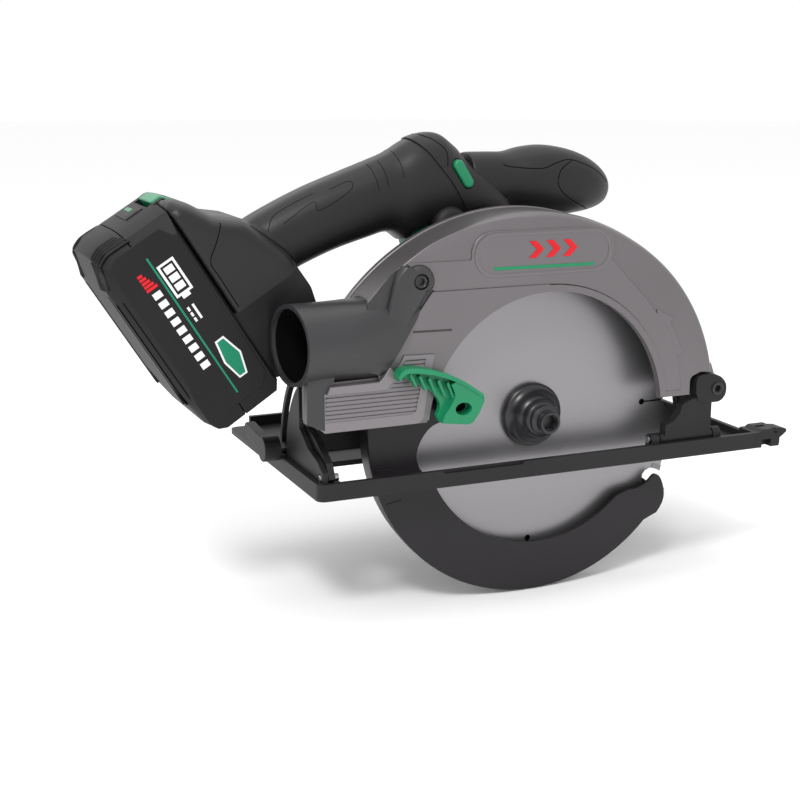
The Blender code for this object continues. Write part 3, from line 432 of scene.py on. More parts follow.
# Key, slot, name, colour, roughness, metallic, mottle, patch, grain, bump, specular and coat.
FINISH_ROWS = (
    ("guard", "guard_grey", "guard_paint", (0.152, 0.141, 0.148), 0.36, 0.6, 0.03, 18, 3200, 0.05, 0.5,
     0.12),
    # The chute takes the guard's own paint made lighter: painted light on the ribbed panel.
    ("chute", "guard_grey", "chute_paint", (0.195, 0.182, 0.191), 0.36, 0.6, 0.03, 18, 3200, 0.05, 0.5,
     0.12),
    ("base", "base_black", "base_coating", (0.013, 0.012, 0.013), 0.52, 0.0, 0.10, 40, 2600, 0.10, 0.28),
    ("lower", "base_black", "lower_guard_coating", (0.012, 0.010, 0.012), 0.42, 0.0, 0.08, 30, 2600, 0.08,
     0.32),
    ("shell", "shell_black", "shell_plastic", (0.010, 0.009, 0.010), 0.42, 0.0, 0.08, 35, 2800, 0.12, 0.36),
    ("pack", "shell_black", "pack_plastic", (0.011, 0.010, 0.011), 0.55, 0.0, 0.08, 35, 2800, 0.12, 0.2),
    ("nozzle", "nozzle_black", "nozzle_plastic", (0.026, 0.025, 0.027), 0.38, 0.0, 0.06, 35, 2800, 0.08,
     0.48),
    ("rubber", "grip_rubber", "grip_rubber", (0.010, 0.009, 0.010), 0.55, 0.0, 0.08, 50, 1900, 0.22, 0.32),
    ("green", "signal_green", "green_plastic", (0.006, 0.20, 0.085), 0.34, 0.0, 0.05, 60, 1800, 0.03, 0.4),
    ("green_dark", "signal_green", "green_print", (0.008, 0.19, 0.10), 0.5, 0.0, 0.05, 60, 1800, 0.03, 0.2),
    ("blade", "blade_steel", "blade_steel", (0.285, 0.276, 0.288), 0.36, 0.85, 0.02, 12, 900, 0.05),
    ("carbide", "blade_steel", "carbide_tips", (0.2, 0.2, 0.21), 0.3, 1.0, 0.04, 60, 2000, 0.05),
    ("oxide", "black_steel", "black_oxide", (0.014, 0.013, 0.015), 0.32, 0.0, 0.08, 60, 2200, 0.06),
    ("steel", "bright_steel", "turned_steel", (0.42, 0.42, 0.43), 0.28, 1.0, 0.04, 40, 2400, 0.04),
    ("cast", "cast_metal", "cast_alloy", (0.3, 0.3, 0.31), 0.45, 0.9, 0.06, 40, 1500, 0.2),
    ("copper", "copper", "windings", (0.45, 0.2, 0.1), 0.38, 0.9, 0.1, 80, 1200, 0.2),
    ("wrap", "cell_wrap", "cell_wrap", (0.08, 0.2, 0.38), 0.4, 0.0, 0.05, 60, 1500, 0.03),
    ("board", "board", "circuit_board", (0.02, 0.13, 0.07), 0.45, 0.0, 0.1, 90, 1500, 0.05),
    ("white", "shell_black", "white_print", (0.72, 0.72, 0.72), 0.5, 0.0, 0.02, 60, 1800, 0.02, 0.2),
    ("red", "shell_black", "red_print", (0.58, 0.012, 0.02), 0.5, 0.0, 0.05, 60, 1800, 0.02, 0.2),
    # The seam finish is near-black and matte. It colours real parting lines and grooves, and it is also
    # painted shade in the nozzle's bore, the lever's hole, the blade's slots and the nose's slot.
    ("seam", "shell_black", "parting_line", (0.002, 0.002, 0.002), 0.9, 0.0, 0.05, 60, 1800, 0.02, 0.05),
    # Darker guard paint for a thin line that is painted shade along a step on the guard's face.
    ("seam_grey", "guard_grey", "cast_groove", (0.05, 0.047, 0.049), 0.6, 0.2, 0.05, 60, 1800, 0.02, 0.2),
)
FINISH = {row[0]: surface(*row[2:], rings=row[0] == "blade") for row in FINISH_ROWS}


# Upper guard

def guard_radius(angle):
    """The upper guard's outer radius, which grows from front to back."""
    if angle <= 60:
        return 108.5
    return 108.5 + 15.0 * ((angle - 60) / 84) ** 1.35


def guard_lean(angle, amount):
    """How far the near face draws in at the top; it flares out a little towards the nozzle."""
    share = min(max((angle - 97) / 28, 0.0), 1.0)
    return amount * (1 - 1.55 * share)


def guard_outline(inset, lean=0.0, bottom=GUARD_BOTTOM):
    first = degrees(atan2(19.0, 106.8))
    shape = [(91 - inset, bottom), (91 - inset, ARBOR[1] + 14)]
    shape += arc((94.5 - inset, ARBOR[1] + 14), 3.5, 180, 100, 4)[1:]
    shape += [(97, ARBOR[1] + 18 + inset)]
    for i in range(GUARD_STEPS + 1):
        angle = first + (144 - first) * i / GUARD_STEPS
        shape.append(polar(ARBOR, guard_radius(angle) - inset - guard_lean(angle, lean), angle))
    shape += [(-119 + inset, ARBOR[1] + 50), (-127 + inset, ARBOR[1] + 38), (-127 + inset, bottom)]
    return shape


def nozzle_rod(radius, low, high):
    """A rod along the dust nozzle's axis, measured from its mouth."""
    bm = cylinder((0, 0), radius, low, high, 72, "X")
    turn = Matrix.Rotation(NOZZLE_TURN, 4, "Z")
    bmesh.ops.transform(bm, matrix=Matrix.Translation(MOUTH) @ turn, verts=bm.verts)
    return bm


def trim(bm, point, normal):
    """Keep the part of a closed mesh behind the plane through the point."""
    cut = bmesh.ops.bisect_plane(
        bm, geom=bm.verts[:] + bm.edges[:] + bm.faces[:], plane_co=point,
        plane_no=normal, clear_outer=True)
    edges = [item for item in cut["geom_cut"] if isinstance(item, bmesh.types.BMEdge)]
    bmesh.ops.contextual_create(bm, geom=edges)
    return bm


def nozzle_barrel(radius, low, high, gap):
    """The nozzle's rod, ended by the guard's far wall and along the wing's slanted front edge."""
    bm = trim(nozzle_rod(radius, low, high), (0, GUARD_FAR - 3 - gap, 0), (0, 1, 0))
    return trim(bm, Vector((-98.5, 0, 60.8)) - WING_SLANT * gap, WING_SLANT)


def upper_guard():
    levels = ((0.6, -28.0, 0), (0.0, -28.6, 0), (0.0, -31.8, 0), (0.5, -32.3, 0), (0.5, -54.0, 0),
              (0.4, -57.4, 1.0), (0.4, -59.0, 2.0), (0.6, -59.7, 2.6), (1.0, -60.0, 2.8))
    rings = [ring(guard_outline(inset, lean), y) for inset, y, lean in levels]
    shell = new_object("guard_shell", stack(rings))
    hollow = prism(guard_outline(3, 0, 0), GUARD_NEAR + 3, GUARD_FAR - 3)
    window = [(0.01, -80), (71.1, -80), (71.1, -60.3), (70.5, -59.6), (70.5, -50), (0.01, -50)]
    carve(shell, hollow, turned(window, ARBOR, 128), nozzle_barrel(21.0, -30, 75, 0.2))
    wing_seat = [(-127.5, 60), (-96.6, 60.6), (-82.4, 81.8), (-86, 97.6), (-125, 97.6)]
    carve(shell, prism(wing_seat, -60.6, -56.5))
    boss = cylinder(ARBOR, 24, -36.5, GUARD_FAR, 64)
    barrel = cylinder(PIVOT, 7.4, -54.5, -33, 32)
    stay = prism([(101, 38), (112, 38), (107.5, 50), (101, 50)], -54.5, -33)
    weld(shell, boss, stay, barrel)
    carve(shell, cylinder(ARBOR, 18.5, -40, -30.5), cylinder(ARBOR, 16.3, -40, -20),
          cylinder(MOTOR, 9.0, -40, -20), cylinder(PIVOT, PIVOT_R, -70, -20, 24))
    dress(shell, "guard", "saw_body", ["upper_guard"])
    upper_plateau = [(-82.6, 117.6), (-46.2, 117.4)] + arc((-34.4, 119.6), 11.9, 170, 90, 10)
    upper_plateau += [(26.0, 131.4)] + arc((26.4, 119.6), 11.8, 80, -30, 12)
    upper_plateau += [(44, 106), (60, 90), (75, 72), (82, 52), (84, 38), (74.6, 38)]
    upper_plateau += arc(ARBOR, 74.0, 8, 90, 30) + [(-67, 102.2)]
    piece("guard_plateau", prism(upper_plateau, -60.9, -59.7), "guard", "saw_body", 0.55)
    band = arc(ARBOR, 73.9, 6.5, 90, 40) + [(-2, 102.4), (-68.4, 102.4), (-98, 62), (-98, 36), (-69.9, 36)]
    band += arc(ARBOR, 70.4, 173.4, 5.6, 80)
    piece("guard_window_band", prism(band, -61.7, -59.7), "guard", "saw_body", 0.6)
    label_pad()
    # A darker grey line on the near face stands in for a step in the casting: painted shade along the step.
    strip("guard_groove_0", [(-79, 82.8), (-57.5, 82.4)], 0.5, -61.95, -61.5, "seam_grey")
    rotation_mark()


def slit(start, end, half):
    """Outline of a straight band between two points."""
    a, b = Vector(start), Vector(end)
    side = (b - a).normalized().orthogonal() * half
    return [tuple(p) for p in (a + side, b + side, b - side, a - side)]


def strip(name, line, half, low, high, finish, body="saw_body"):
    """A straight thin bar between two points of the XZ plane."""
    piece(name, prism(slit(*line, half), low, high), finish, body, 0.12)


def label_pad():
    """Blank recessed label field with a plain underline, on the guard's near face."""
    steps = 10
    outer = round_box((-44.6, 107.8), (36.6, 130.6), 11.2, steps)
    crown = round_box((-43.9, 108.4), (36.0, 130.0), 10.7, steps)
    brow = round_box((-42.6, 109.1), (34.8, 129.3), 10.0, steps)
    inner = round_box((-42.0, 109.6), (34.2, 128.8), 9.6, steps)
    levels = ((outer, -60.6), (outer, -61.25), (crown, -61.45), (brow, -61.45), (inner, -61.2),
              (inner, -60.6))
    piece("label_rim", stack([ring(*level) for level in levels], closed=True), "guard")
    piece("label_field", prism(inner, -60.7, -61.0), "guard")
    strip("label_line", [(-33.6, 112.1), (25.4, 111.7)], 0.85, -61.3, -60.9, "green")
    for k in range(3):
        x = -13.5 + 10 * k
        chevron = [(x, 116.6), (x + 4.2, 116.6), (x + 8.6, 121), (x + 4.2, 125.4), (x, 125.4), (x + 4.4, 121)]
        piece(f"label_chevron_{k}", prism(chevron, -61.35, -60.9), "red", "saw_body", 0.1)


def rotation_mark():
    """Plain raised arrow that shows which way the blade turns."""
    outer = arc(ARBOR, 89.5, 20, 33, 10)
    inner = arc(ARBOR, 84.5, 33, 20, 10)
    tip = polar(ARBOR, 87, 40.5)
    head = [polar(ARBOR, 93, 33), tip, polar(ARBOR, 81, 33)]
    piece("rotation_arrow", prism(outer + head + inner, -60.75, -59.8), "guard", "saw_body", 0.3)


# Chute and dust nozzle

def chute():
    """Ribbed panel on the rear of the guard, under the nozzle."""
    panel = [(-127.5, 35.0), (-78.2, 35.2)] + arc((-78.0, 40.2), 5.0, 280, 352, 6)
    panel += [(-71.6, 50), (-67.4, 70.8), (-84.4, 71.2), (-90.0, 61.0), (-93.6, 55.2), (-127.5, 55.2)]
    inner = [(-127.0, 40.4), (-80.4, 40.6)] + arc((-80.4, 43.4), 2.8, 278, 352, 4)
    inner += [(-75.6, 53), (-72.6, 68.6), (-83.6, 68.8), (-88.6, 60.0), (-92.4, 53.6), (-127.0, 53.6)]
    piece("chute_frame", prism(panel, -62.9, -59.8), "chute", "saw_body", 0.7,
          cut=[prism(inner, -64, -61.7)], segments=3)
    teeth = [(-61.4, 40.0)]
    first, pitch, count = 40.3, 2.2, 13
    for k in range(count):
        z = first + pitch * k
        teeth += [(-62.55, z), (-62.35, z + 1.35), (-61.75, z + 1.6), (-61.75, z + 2.1)]
    teeth.append((-61.4, first + pitch * count))
    slats = new_object("chute_slats", prism(teeth, -127.2, -70, "X"))
    combine(slats, "INTERSECT", [prism(inner, -66, -60)])
    dress(slats, "chute")
    lip = [(-126.6, 54.6), (-94.2, 54.4), (-91.4, 58.2), (-89.4, 62.4), (-92.6, 66.5), (-96.0, 61.6),
           (-98.2, 59.2), (-124.8, 58.8)]
    piece("chute_lip", prism(lip, -64.2, -60.5), "chute", "saw_body", 0.6)


def smooth_share(value):
    """Zero to one with a soft start and end."""
    share = min(max(value, 0.0), 1.0)
    return share * share * (3 - 2 * share)


def nozzle_duct(wall, start):
    """The spout's skin, or its bore inside a wall: it flattens and spreads as it runs into the wing."""
    rings = []
    steps = 72
    radius = SPOUT_R - wall
    for k in range(29):
        along = start + 3.0 * k
        share = smooth_share((along - 14) / 42)
        power = 2.0 + 1.5 * share
        centre = Vector((MOUTH.x + along * cos(NOZZLE_TURN), MOUTH.y + along * 0.108, MOUTH.z + 0.6 * share))
        far = radius + (GUARD_FAR - 3.5 - wall - centre.y - radius) * smooth_share(along / 13)
        section = []
        for i in range(steps):
            c = cos(2 * pi * i / steps)
            y = (far if c >= 0 else radius) * bulge(c, power)
            z = (radius - 0.4 * share) * bulge(sin(2 * pi * i / steps), power)
            section.append(centre + Vector((-y * sin(NOZZLE_TURN) * (1 - share), y, z)))
        rings.append(section)
    return trim(stack(rings), Vector((-96.9, 0, 60.0)) - WING_SLANT * 1.5 * wall, WING_SLANT)


def dust_nozzle():
    """Round spout with a flat wing, screwed to the guard's near face."""
    nozzle = new_object("nozzle_spout", nozzle_duct(0, 0))
    edge = eased([(-96.2, 61.2), (-91.0, 69.0), (-84.0, 79.8), (-79.4, 88.8), (-74.6, 96.4),
                  (-70.4, 102.4)], 4)
    rear = [(-84.8, 116.6), (-88.6, 112.4), (-91.2, 104), (-94.0, 92), (-105, 65)]
    rings = []
    levels = ((-60.3, 0, 0, 8.3, 0.0), (-61.2, 0, 0, 8.3, 0.0), (-62.6, -0.9, 0.5, 7.9, 0.2),
              (-63.9, -2.4, 1.3, 7.1, 0.8), (-64.4, -3.4, 1.9, 6.4, 1.5))
    for y, dx, dz, radius, inset in levels:
        line = [(x + dx, z + dz) for x, z in edge] + arc(NOZZLE_SCREW, radius, -38, 118, 14)
        rings.append(ring(line + [(x + inset, z - inset * 0.5) for x, z in rear], y))
    web = [(-83.6, 116.6), (-90.4, 112.6), (-103.6, 98.2), (-103, 92), (-86, 92)]
    skirt = [(-136.8, 40.4), (-127.2, 36.0), (-126.2, 52), (-122, 62), (-122, 72), (-135.4, 72), (-136.2, 58)]
    weld(nozzle, stack(rings), prism(web, -61.0, -60.35), prism(skirt, -62.4, -57.0),
         box((-129.3, -58, 36), (-127.4, -34.5, 70)))
    carve(nozzle, nozzle_duct(2.1, -6), nozzle_rod(9.0, 40, 90), cylinder(ARBOR, 101.5, -56.7, 0, 128),
          cylinder(NOZZLE_SCREW, 4.1, -70, -61.4, 32), cylinder(NOZZLE_SCREW, 1.9, -70, -50, 16))
    soften(nozzle, 0.5, 3, 40)
    dress(nozzle, "nozzle", "saw_body", ["dust_nozzle"])
    # A near-black matte sleeve inside the spout's bore: painted shade that darkens the mouth.
    piece("nozzle_liner", nozzle_duct(2.2, 2.0), "seam", "saw_body",
          cut=[nozzle_duct(2.7, -6), nozzle_rod(9.0, 40, 90)])
    screw_head()


def screw_head():
    """The nozzle's screw: a round head with a hexagon socket in its near face."""
    radius, socket, near, far = 3.7, 2.1, -64.0, -61.6
    profile = [(0.01, near + 0.3), (0.01, far), (radius, far), (radius, near + 0.5), (radius - 0.5, near),
               (socket + 0.9, near), (socket + 0.6, near + 0.3)]
    piece("nozzle_hex", turned(profile, NOZZLE_SCREW, 48), "oxide", "saw_body", 0, ["nozzle_screw"],
          cut=[cylinder(NOZZLE_SCREW, socket, near - 1, far - 0.4, 6)])


# Lower guard and its lever

def lower_guard():
    """Sickle round the blade, with a rolled rim and the far wall on its hub."""
    tip, tail = -31.0, -200.0
    window = [(-46, 30), (-54, 31), (-62.5, 28.5), (-68.5, 21.5), (-71, 13), (-68.5, 5)]
    window = eased(window, 4)[:-1]
    window += arc((3, 26.5), 70, 207, 308, 40) + [(53, -23)]
    nose = eased([(60.1, -20.9), (66.5, -20.2), (72.5, -17.6), (77.2, -13.6), (80.8, -15.2), (83.2, -20.4),
                  (84.2, -26.3), (82.9, -31.6), (79.6, -36.4)], 4)
    sickle = window + nose + arc(ARBOR, 98.0, -44, tail + 0.5, 80) + [(-70, 52), (-46, 44)]
    rings = []
    rim = ((-47.9, 98.4, 96.6), (-47.2, 98.8, 96.6), (-40.0, 98.4, 96.2), (-33.9, 97.8, 96.0))
    for y, outer, inner in rim:
        band = arc(ARBOR, outer, tip, tail, 110) + arc(ARBOR, inner, tail, tip, 110)
        rings.append(ring(band, y))
    sector = arc(ARBOR, 97.2, tip - 0.5, tail + 0.5, 80) + arc(ARBOR, 22, 150, -20, 16)
    far = prism(sector, -35.5, -33.5)
    hub = cylinder(ARBOR, 30, -35.8, -33.8, 64)
    post = cylinder((-58, 42), 5.5, -62.3, -47, 24)
    piece("sickle", prism(sickle, -48.0, -46.0), "lower", "lower_guard", 0.5, ["lower_guard"],
          add=[stack(rings), far, hub, post], cut=[cylinder(ARBOR, 24.3, -45, -20, 64)])
    for k, angle in enumerate((-168, -162, -156)):
        line = [polar(ARBOR, 96.5, angle), polar(ARBOR, 88, angle + 1.5)]
        strip(f"guard_tick_{k}", line, 0.4, -48.35, -47.9, "lower", "lower_guard")


def lever_hole(half_long, half_tall):
    x, z = LEVER_HOLE
    angles = [2 * pi * k / 32 for k in range(32)]
    return [(x + half_long * cos(a), z + half_tall * sin(a)) for a in angles]


def guard_lever():
    """Ribbed green thumb lever with an oval hole near its foot."""
    top_edge = eased([(-91, 62.5), (-86, 66.2), (-72, 64.2), (-57, 58.4), (-43.6, 49.6)], 5)
    foot = [(-42.6, 46.0), (-45.5, 39.6), (-49.0, 35.0), (-51.5, 34.0)]
    outline = top_edge + foot + [(-66, 35.8)]
    outline += eased([(-67.6, 39), (-66, 45), (-70, 51.5), (-78, 56.8), (-86, 60.4)], 4)
    lever = new_object("lever_body", prism(outline, -66.2, -62.6))
    roof = top_edge + list(reversed([(x + 0.6, z - 2.6) for x, z in top_edge]))
    face = [(-61.5, 55.4)] + top_edge[-6:] + foot + [(-66.5, 36.0)]
    face += eased([(-66.0, 39.0), (-61.6, 45), (-59.4, 50), (-61.5, 55.4)], 4)[1:-1]
    weld(lever, prism(roof, -71.2, -62.8), prism(face, -70.6, -64))
    carve(lever, prism(lever_hole(4.6, 3.3), -80, -64.6))
    soften(lever, 0.5, 3)
    dress(lever, "green", "lower_guard", ["guard_lever"])
    # A near-black disc at the bottom of the lever's hole: painted shade inside the hole.
    piece("lever_hole_floor", prism(lever_hole(0.8 * 4.6, 0.8 * 3.3), -65.0, -64.3), "seam", "lower_guard")
    for k in range(5):
        x, top, foot = -84.5 + 5.2 * k, 62.5 - 1.6 * k, 55.6 - 2.0 * k
        rib = [(x, top), (x + 1.1, 63.6 - 1.6 * k), (x + 4.6, 56.5 - 2.0 * k), (x + 3.6, foot)]
        piece(f"lever_rib_{k}", prism(rib, -69.6, -65.8), "green", "lower_guard", 0.3)


# Blade and flange

def blade_slot(number, outer, low, high):
    """The round end and the slit of an expansion slot."""
    spot = polar(ARBOR, SLOT_HOLE_AT, 90 * number)
    line = slit(spot, polar(ARBOR, outer, 90 * number), 0.45)
    return [cylinder(spot, 1.8, low, high, 20), prism(line, low, high)]


def blade():
    """Toothed disc with four expansion slots, its carbide tips, and near-black strips in the slots' inner
    parts as painted shade.
    """
    pitch = 360 / BLADE_TEETH
    gullet = ((89.4, 0.5), (86.6, 0.6), (85.2, 0.72), (85.8, 0.84), (88.2, 0.95))
    points = []
    tips = []
    for tooth in range(BLADE_TEETH):
        start = tooth * pitch + 4
        points.append(polar(ARBOR, 94.6, start))
        points += [polar(ARBOR, 94.6 - 1.4 * t, start + 0.40 * pitch * t) for t in (0.35, 0.7, 1.0)]
        points += [polar(ARBOR, radius, start + share * pitch) for radius, share in gullet]
        corners = ((95, -0.3), (94.4, 1.6), (88.6, 1.3), (88.6, -0.3))
        tips.append(prism([polar(ARBOR, radius, start + turn) for radius, turn in corners], -41.2, -38.8))
    slots = [shape for k in range(4) for shape in blade_slot(k, 97, -50, -30)]
    piece("blade_disc", prism(points, *BLADE_FACES), "blade", "arbor", 0, ["blade"],
          cut=[cylinder(ARBOR, 8.0, -50, -30), *slots])
    piece("blade_tips", merged(*tips), "carbide", "arbor")
    # Near-black strips fill the inner part of each slot: painted shade seen through the slots.
    for k in range(4):
        for number, shade_strip in enumerate(blade_slot(k, 84.6, -40.6, -39.4)):
            piece(f"slot_filler_{k}_{number}", shade_strip, "seam", "arbor")


def flange():
    """Outer washer and the blade's bolt with its hexagon socket."""
    face = -41.2
    washer = [(4.3, face), (17.4, face), (17.5, -41.8), (17.5, -43.6), (17.0, -44.5), (16.0, -45.0),
              (14.8, -45.4), (13.2, -48.6), (12.2, -50.6), (11.2, -51.6), (10.4, -52.2), (10.2, -54.2),
              (9.6, -55.4), (8.8, -56.0), (4.3, -56.0)]
    piece("outer_washer", turned(washer, ARBOR, 96), "oxide", "arbor", 0, ["outer_flange"], 50)
    head = [(4.0, -30), (0.01, -30), (0.01, -62.4), (4.2, -62.4), (4.5, -64.0), (5.2, -64.4), (5.8, -64.2),
            (6.2, -63.4), (6.2, -59.6), (7.4, -59.0), (8.2, -58.4), (8.2, -56.3), (4.0, -56.3)]
    piece("arbor_bolt", turned(head, ARBOR, 72), "oxide", "arbor", 0, ["blade_bolt"],
          cut=[cylinder(ARBOR, 4.3, -70, -59.0, 6)])


# Handle

def limb(rows, steps=44, between=6):
    """A limb of the handle, skinned over rows of X, Z, heading, half thickness and half width."""
    return stack([oval(*row, steps=steps) for row in eased(rows, between)])


GRIP_ROWS = [(-170, 103, 28, 15.5, 16), (-158, 109.5, 28, 17, 17), (-146, 116.5, 28, 17.6, 17.4),
             (-133, 124, 26, 17.8, 17.4), (-110, 134.2, 22, 18.2, 17.4), (-88, 141.6, 18, 18.8, 17.8),
             (-74, 145.6, 15, 19.7, 18.0), (-64, 144.8, 10, 24.4, 18.2), (-56, 149.2, 5, 25.4, 18.6),
             (-50, 151.4, -1, 26.0, 18.8), (-43, 152, -7, 25.6, 18.8), (-37, 150.4, -14, 22.0, 18.6),
             (-30, 147.6, -22, 18.0, 18.0), (-20, 143, -34, 16.5, 17.5), (-12, 138, -42, 16, 16.5)]
STEM_ROWS = [(-14, 144, -90, 18, 16.5), (-11, 108, -90, 20, 17), (-8, 70, -90, 21, 17)]
LIMB_ROWS = [(-136, 84, -35, 13, 15), (-112, 69, -22, 12, 15), (-80, 59, -12, 12, 15), (-36, 53, -4, 14, 15)]
FRONT_ROWS = [(-22, 150, 0, 17.6, 14.5), (-8, 151, 0, 16.4, 14.2), (2, 151.3, 0, 16.0, 15),
              (12, 151.3, -1, 18.2, 17.2), (24, 151, -3, 19.4, 19), (36, 149.8, -6, 18.8, 19.2),
              (46, 148.4, -10, 16.8, 18.4), (54, 146.6, -13, 14.0, 16.2), (60, 144.9, -15, 10.8, 12.8),
              (64, 143.5, -16, 7.4, 9), (66.4, 142.8, -16, 4, 5)]
BELL_ROWS = GRIP_ROWS[5:]


def foot_outline(inset):
    n0 = BATTERY_N[1] + 0.3
    points = [(-206.3 + inset, n0), (-206.3 + inset, -98.5), (-198.6, -91.4 - inset), (-186.5, -84.5 - inset)]
    points += [(-176, -72 - inset), (-150, -62 - inset), (-128, -61 - inset), (-112, -65 - inset)]
    return points + [(-97.7 - inset, -76 - inset * 0.6), (-97.7 - inset, n0)]


def battery_ring(outline, y):
    return ring([battery_point(u, n) for u, n in outline], y)


def foot_solid():
    """The foot narrows towards its sides and leaves room for the nozzle at its lower front."""
    side = [(8.0, FOOT_HALF), (4.2, 33), (1.6, 28), (0.0, 20)]
    levels = [(inset, -y) for inset, y in side] + side[::-1]
    return stack([battery_ring(foot_outline(inset), y) for inset, y in levels])


def merged(*solids):
    """One mesh that holds several overlapping solids."""
    whole = bmesh.new()
    for bm in solids:
        bmesh.ops.recalc_face_normals(bm, faces=bm.faces)
        mesh = bpy.data.meshes.new("part")
        bm.to_mesh(mesh)
        bm.free()
        whole.from_mesh(mesh)
        bpy.data.meshes.remove(mesh)
    return whole


def tongue_shapes(clearance, u):
    """The T-shaped tongue that the battery slides on, as its neck and its head."""
    neck = 14.0 + clearance
    head = 19.0 + clearance
    shorter = (u[0] + 0.4, u[1] - 0.4)
    return (battery_box(shorter, (BATTERY_N[1] - 0.5, -99.5), (-neck, neck)),
            battery_box(u, (-100 - clearance, -96 + clearance), (-head, head)))


def lock_off_outline(clearance):
    top, bottom, radius = (-33.8, 161.8), (-28.1, 152.7), 3.1 + clearance
    heading = degrees(atan2(top[1] - bottom[1], top[0] - bottom[0]))
    outline = arc(top, radius, heading - 90, heading + 90, 14)
    return outline + arc(bottom, radius, heading + 90, heading + 270, 14)


HANDLE_SCREWS = [(-104.0, 137.0), (-8.0, 108.0), battery_point(-160, -79)]
CLAMP = polar(PIVOT, 180, 177)


def handle_half(name, side, nodes):
    """One half of the shell, from the handle's whole body cut along its middle."""
    half = new_object(name, merged(limb(GRIP_ROWS), limb(STEM_ROWS), limb(LIMB_ROWS), foot_solid()))
    melt(half, VOXEL, 14)
    finger_room = [(-62, 119.5), (-57.8, 127), (-41.5, 133.2), (-30, 138), (-30, 95), (-75, 95)]
    trigger_slot = [(-61.6, 109), (-33.7, 109), (-33.7, 141.3), (-61.6, 133.7)]
    cuts = [cylinder(MOTOR, MOTOR_R + 0.3, -60, 60, 96), *tongue_shapes(0.4, (-215, -98)),
            battery_box((-230, -80), (-160, BATTERY_N[1] + 0.25), (-60, 60)),
            battery_box((-142, -80), (-110, -50), (-60, -FOOT_FRONT_HALF)),
            battery_box((-142, -80), (-110, -50), (FOOT_FRONT_HALF, 60)),
            prism(finger_room, -30, 30), prism(trigger_slot, -8.6, 8.6),
            battery_box((-215, -199.4), (-105, -80), (-17.4, 17.4)), cylinder(CLAMP, 3.6, -30, 30, 32),
            prism(lock_off_outline(0.45), -30, -2.4 if side < 0 else 0)]
    if side > 0:
        cuts += [cylinder(centre, 4.0, deep, 40, 32)
                 for centre, deep in zip(HANDLE_SCREWS, (12.5, 12.0, 28.0))]
    other = (HALF_GAP - 100, HALF_GAP) if side > 0 else (-HALF_GAP, 100 - HALF_GAP)
    cuts.append(box((-300, other[0], -100), (200, other[1], 300)))
    carve(half, *cuts, solver="MANIFOLD")
    shade(half.data, 48)
    return dress(half, "shell", "saw_body", nodes)


def front_handle():
    """The front grip, cut back from the body of the handle."""
    grip = new_object("front_grip", merged(limb(FRONT_ROWS, 48)))
    melt(grip, VOXEL, 5)
    room = new_object("room", merged(limb(GRIP_ROWS), limb(STEM_ROWS)))
    melt(room, VOXEL, 4)
    tool = bmesh.new()
    tool.from_mesh(room.data)
    bmesh.ops.scale(tool, vec=(1 / MM, 1 / MM, 1 / MM), verts=tool.verts)
    bpy.data.objects.remove(room)
    carve(grip, tool, solver="MANIFOLD")
    return dress(grip, "shell", "saw_body", ["front_handle"])


SKINS = {}


def on_surface(obj, x, z, side):
    """The point of obj's skin seen from the given side at X and Z, or None."""
    tree = SKINS.get(obj.name)
    if tree is None:
        bpy.context.view_layer.update()
        tree = BVHTree.FromObject(obj, bpy.context.evaluated_depsgraph_get())
        SKINS[obj.name] = tree
    hit = tree.ray_cast(Vector((x * MM, side * 0.2, z * MM)), Vector((0, -side, 0)))
    return hit[0] * (1 / MM) if hit[0] is not None else None


def seam(name, obj, points, side, radius):
    """A parting line or groove: a dark bead sunk into the skin along a path of X and Z."""
    path = []
    for x, z in eased(points, 10):
        spot = on_surface(obj, x, z, side)
        if spot is not None:
            path.append(spot - Vector((0, side * radius * 0.35, 0)))
    if len(path) > 2:
        piece(name, tube_mesh(path, radius), "seam")


def handle_details(right, left, front):
    """Seams and shallow marks on both sides; the radius comes before the points."""
    grip_lines = {
        "grip_seam": (0.3, [(-152.4, 136), (-142.2, 128.7), (-129.6, 119.4), (-124, 114)]),
        "foot_line": (0.3, [(-169.5, 138.6), (-172.6, 129), (-175.6, 120.0), (-171, 112), (-161.9, 97.0)]),
        "grip_mark_a": (0.17, [(-139.5, 131.4), (-136.0, 138.0), (-126.8, 143.4), (-113.1, 149.4)]),
        "grip_mark_b": (0.17, [(-131.5, 134.6), (-114.7, 145.1), (-111.7, 141.0), (-94.6, 150.4),
                               (-94.0, 155.0), (-105.0, 151.0)]),
        "grip_rib_1": (0.17, [(-81.6, 163), (-80.2, 157), (-79.0, 150.0)]),
        "grip_rib_2": (0.17, [(-76.0, 164.6), (-74.6, 159), (-73.6, 152.0)]),
        "grip_rib_3": (0.17, [(-66.8, 169.4), (-65.4, 163), (-64.4, 156.0)]),
    }
    front_lines = {
        "front_line": (0.28, [(-4, 161.0), (1, 159.6), (17, 158.6), (27, 161.5), (36.5, 162.6),
                              (52, 156.7), (61, 149.6)]),
        "front_pad": (0.28, [(36.5, 162.4), (28.6, 157.8), (26.4, 150.5), (30.0, 145.0), (37.0, 140.4),
                             (50.0, 134.6)]),
    }
    for side, skin, tag in ((-1, right, "r"), (1, left, "l")):
        for owner, lines in ((skin, grip_lines), (front, front_lines)):
            for name, (radius, points) in lines.items():
                seam(f"{name}_{tag}", owner, points, side, radius)


COLLAR_EDGE = [(-58.5, 178.5), (-55.4, 174.6), (-50.1, 169.1), (-44.9, 162.2), (-35.7, 150.4), (-27.9, 137.7)]
COLLAR_FRONT = [(-16.5, 141.0), (-23.4, 155.0), (-29.0, 165.0), (-31.0, 176.0)]


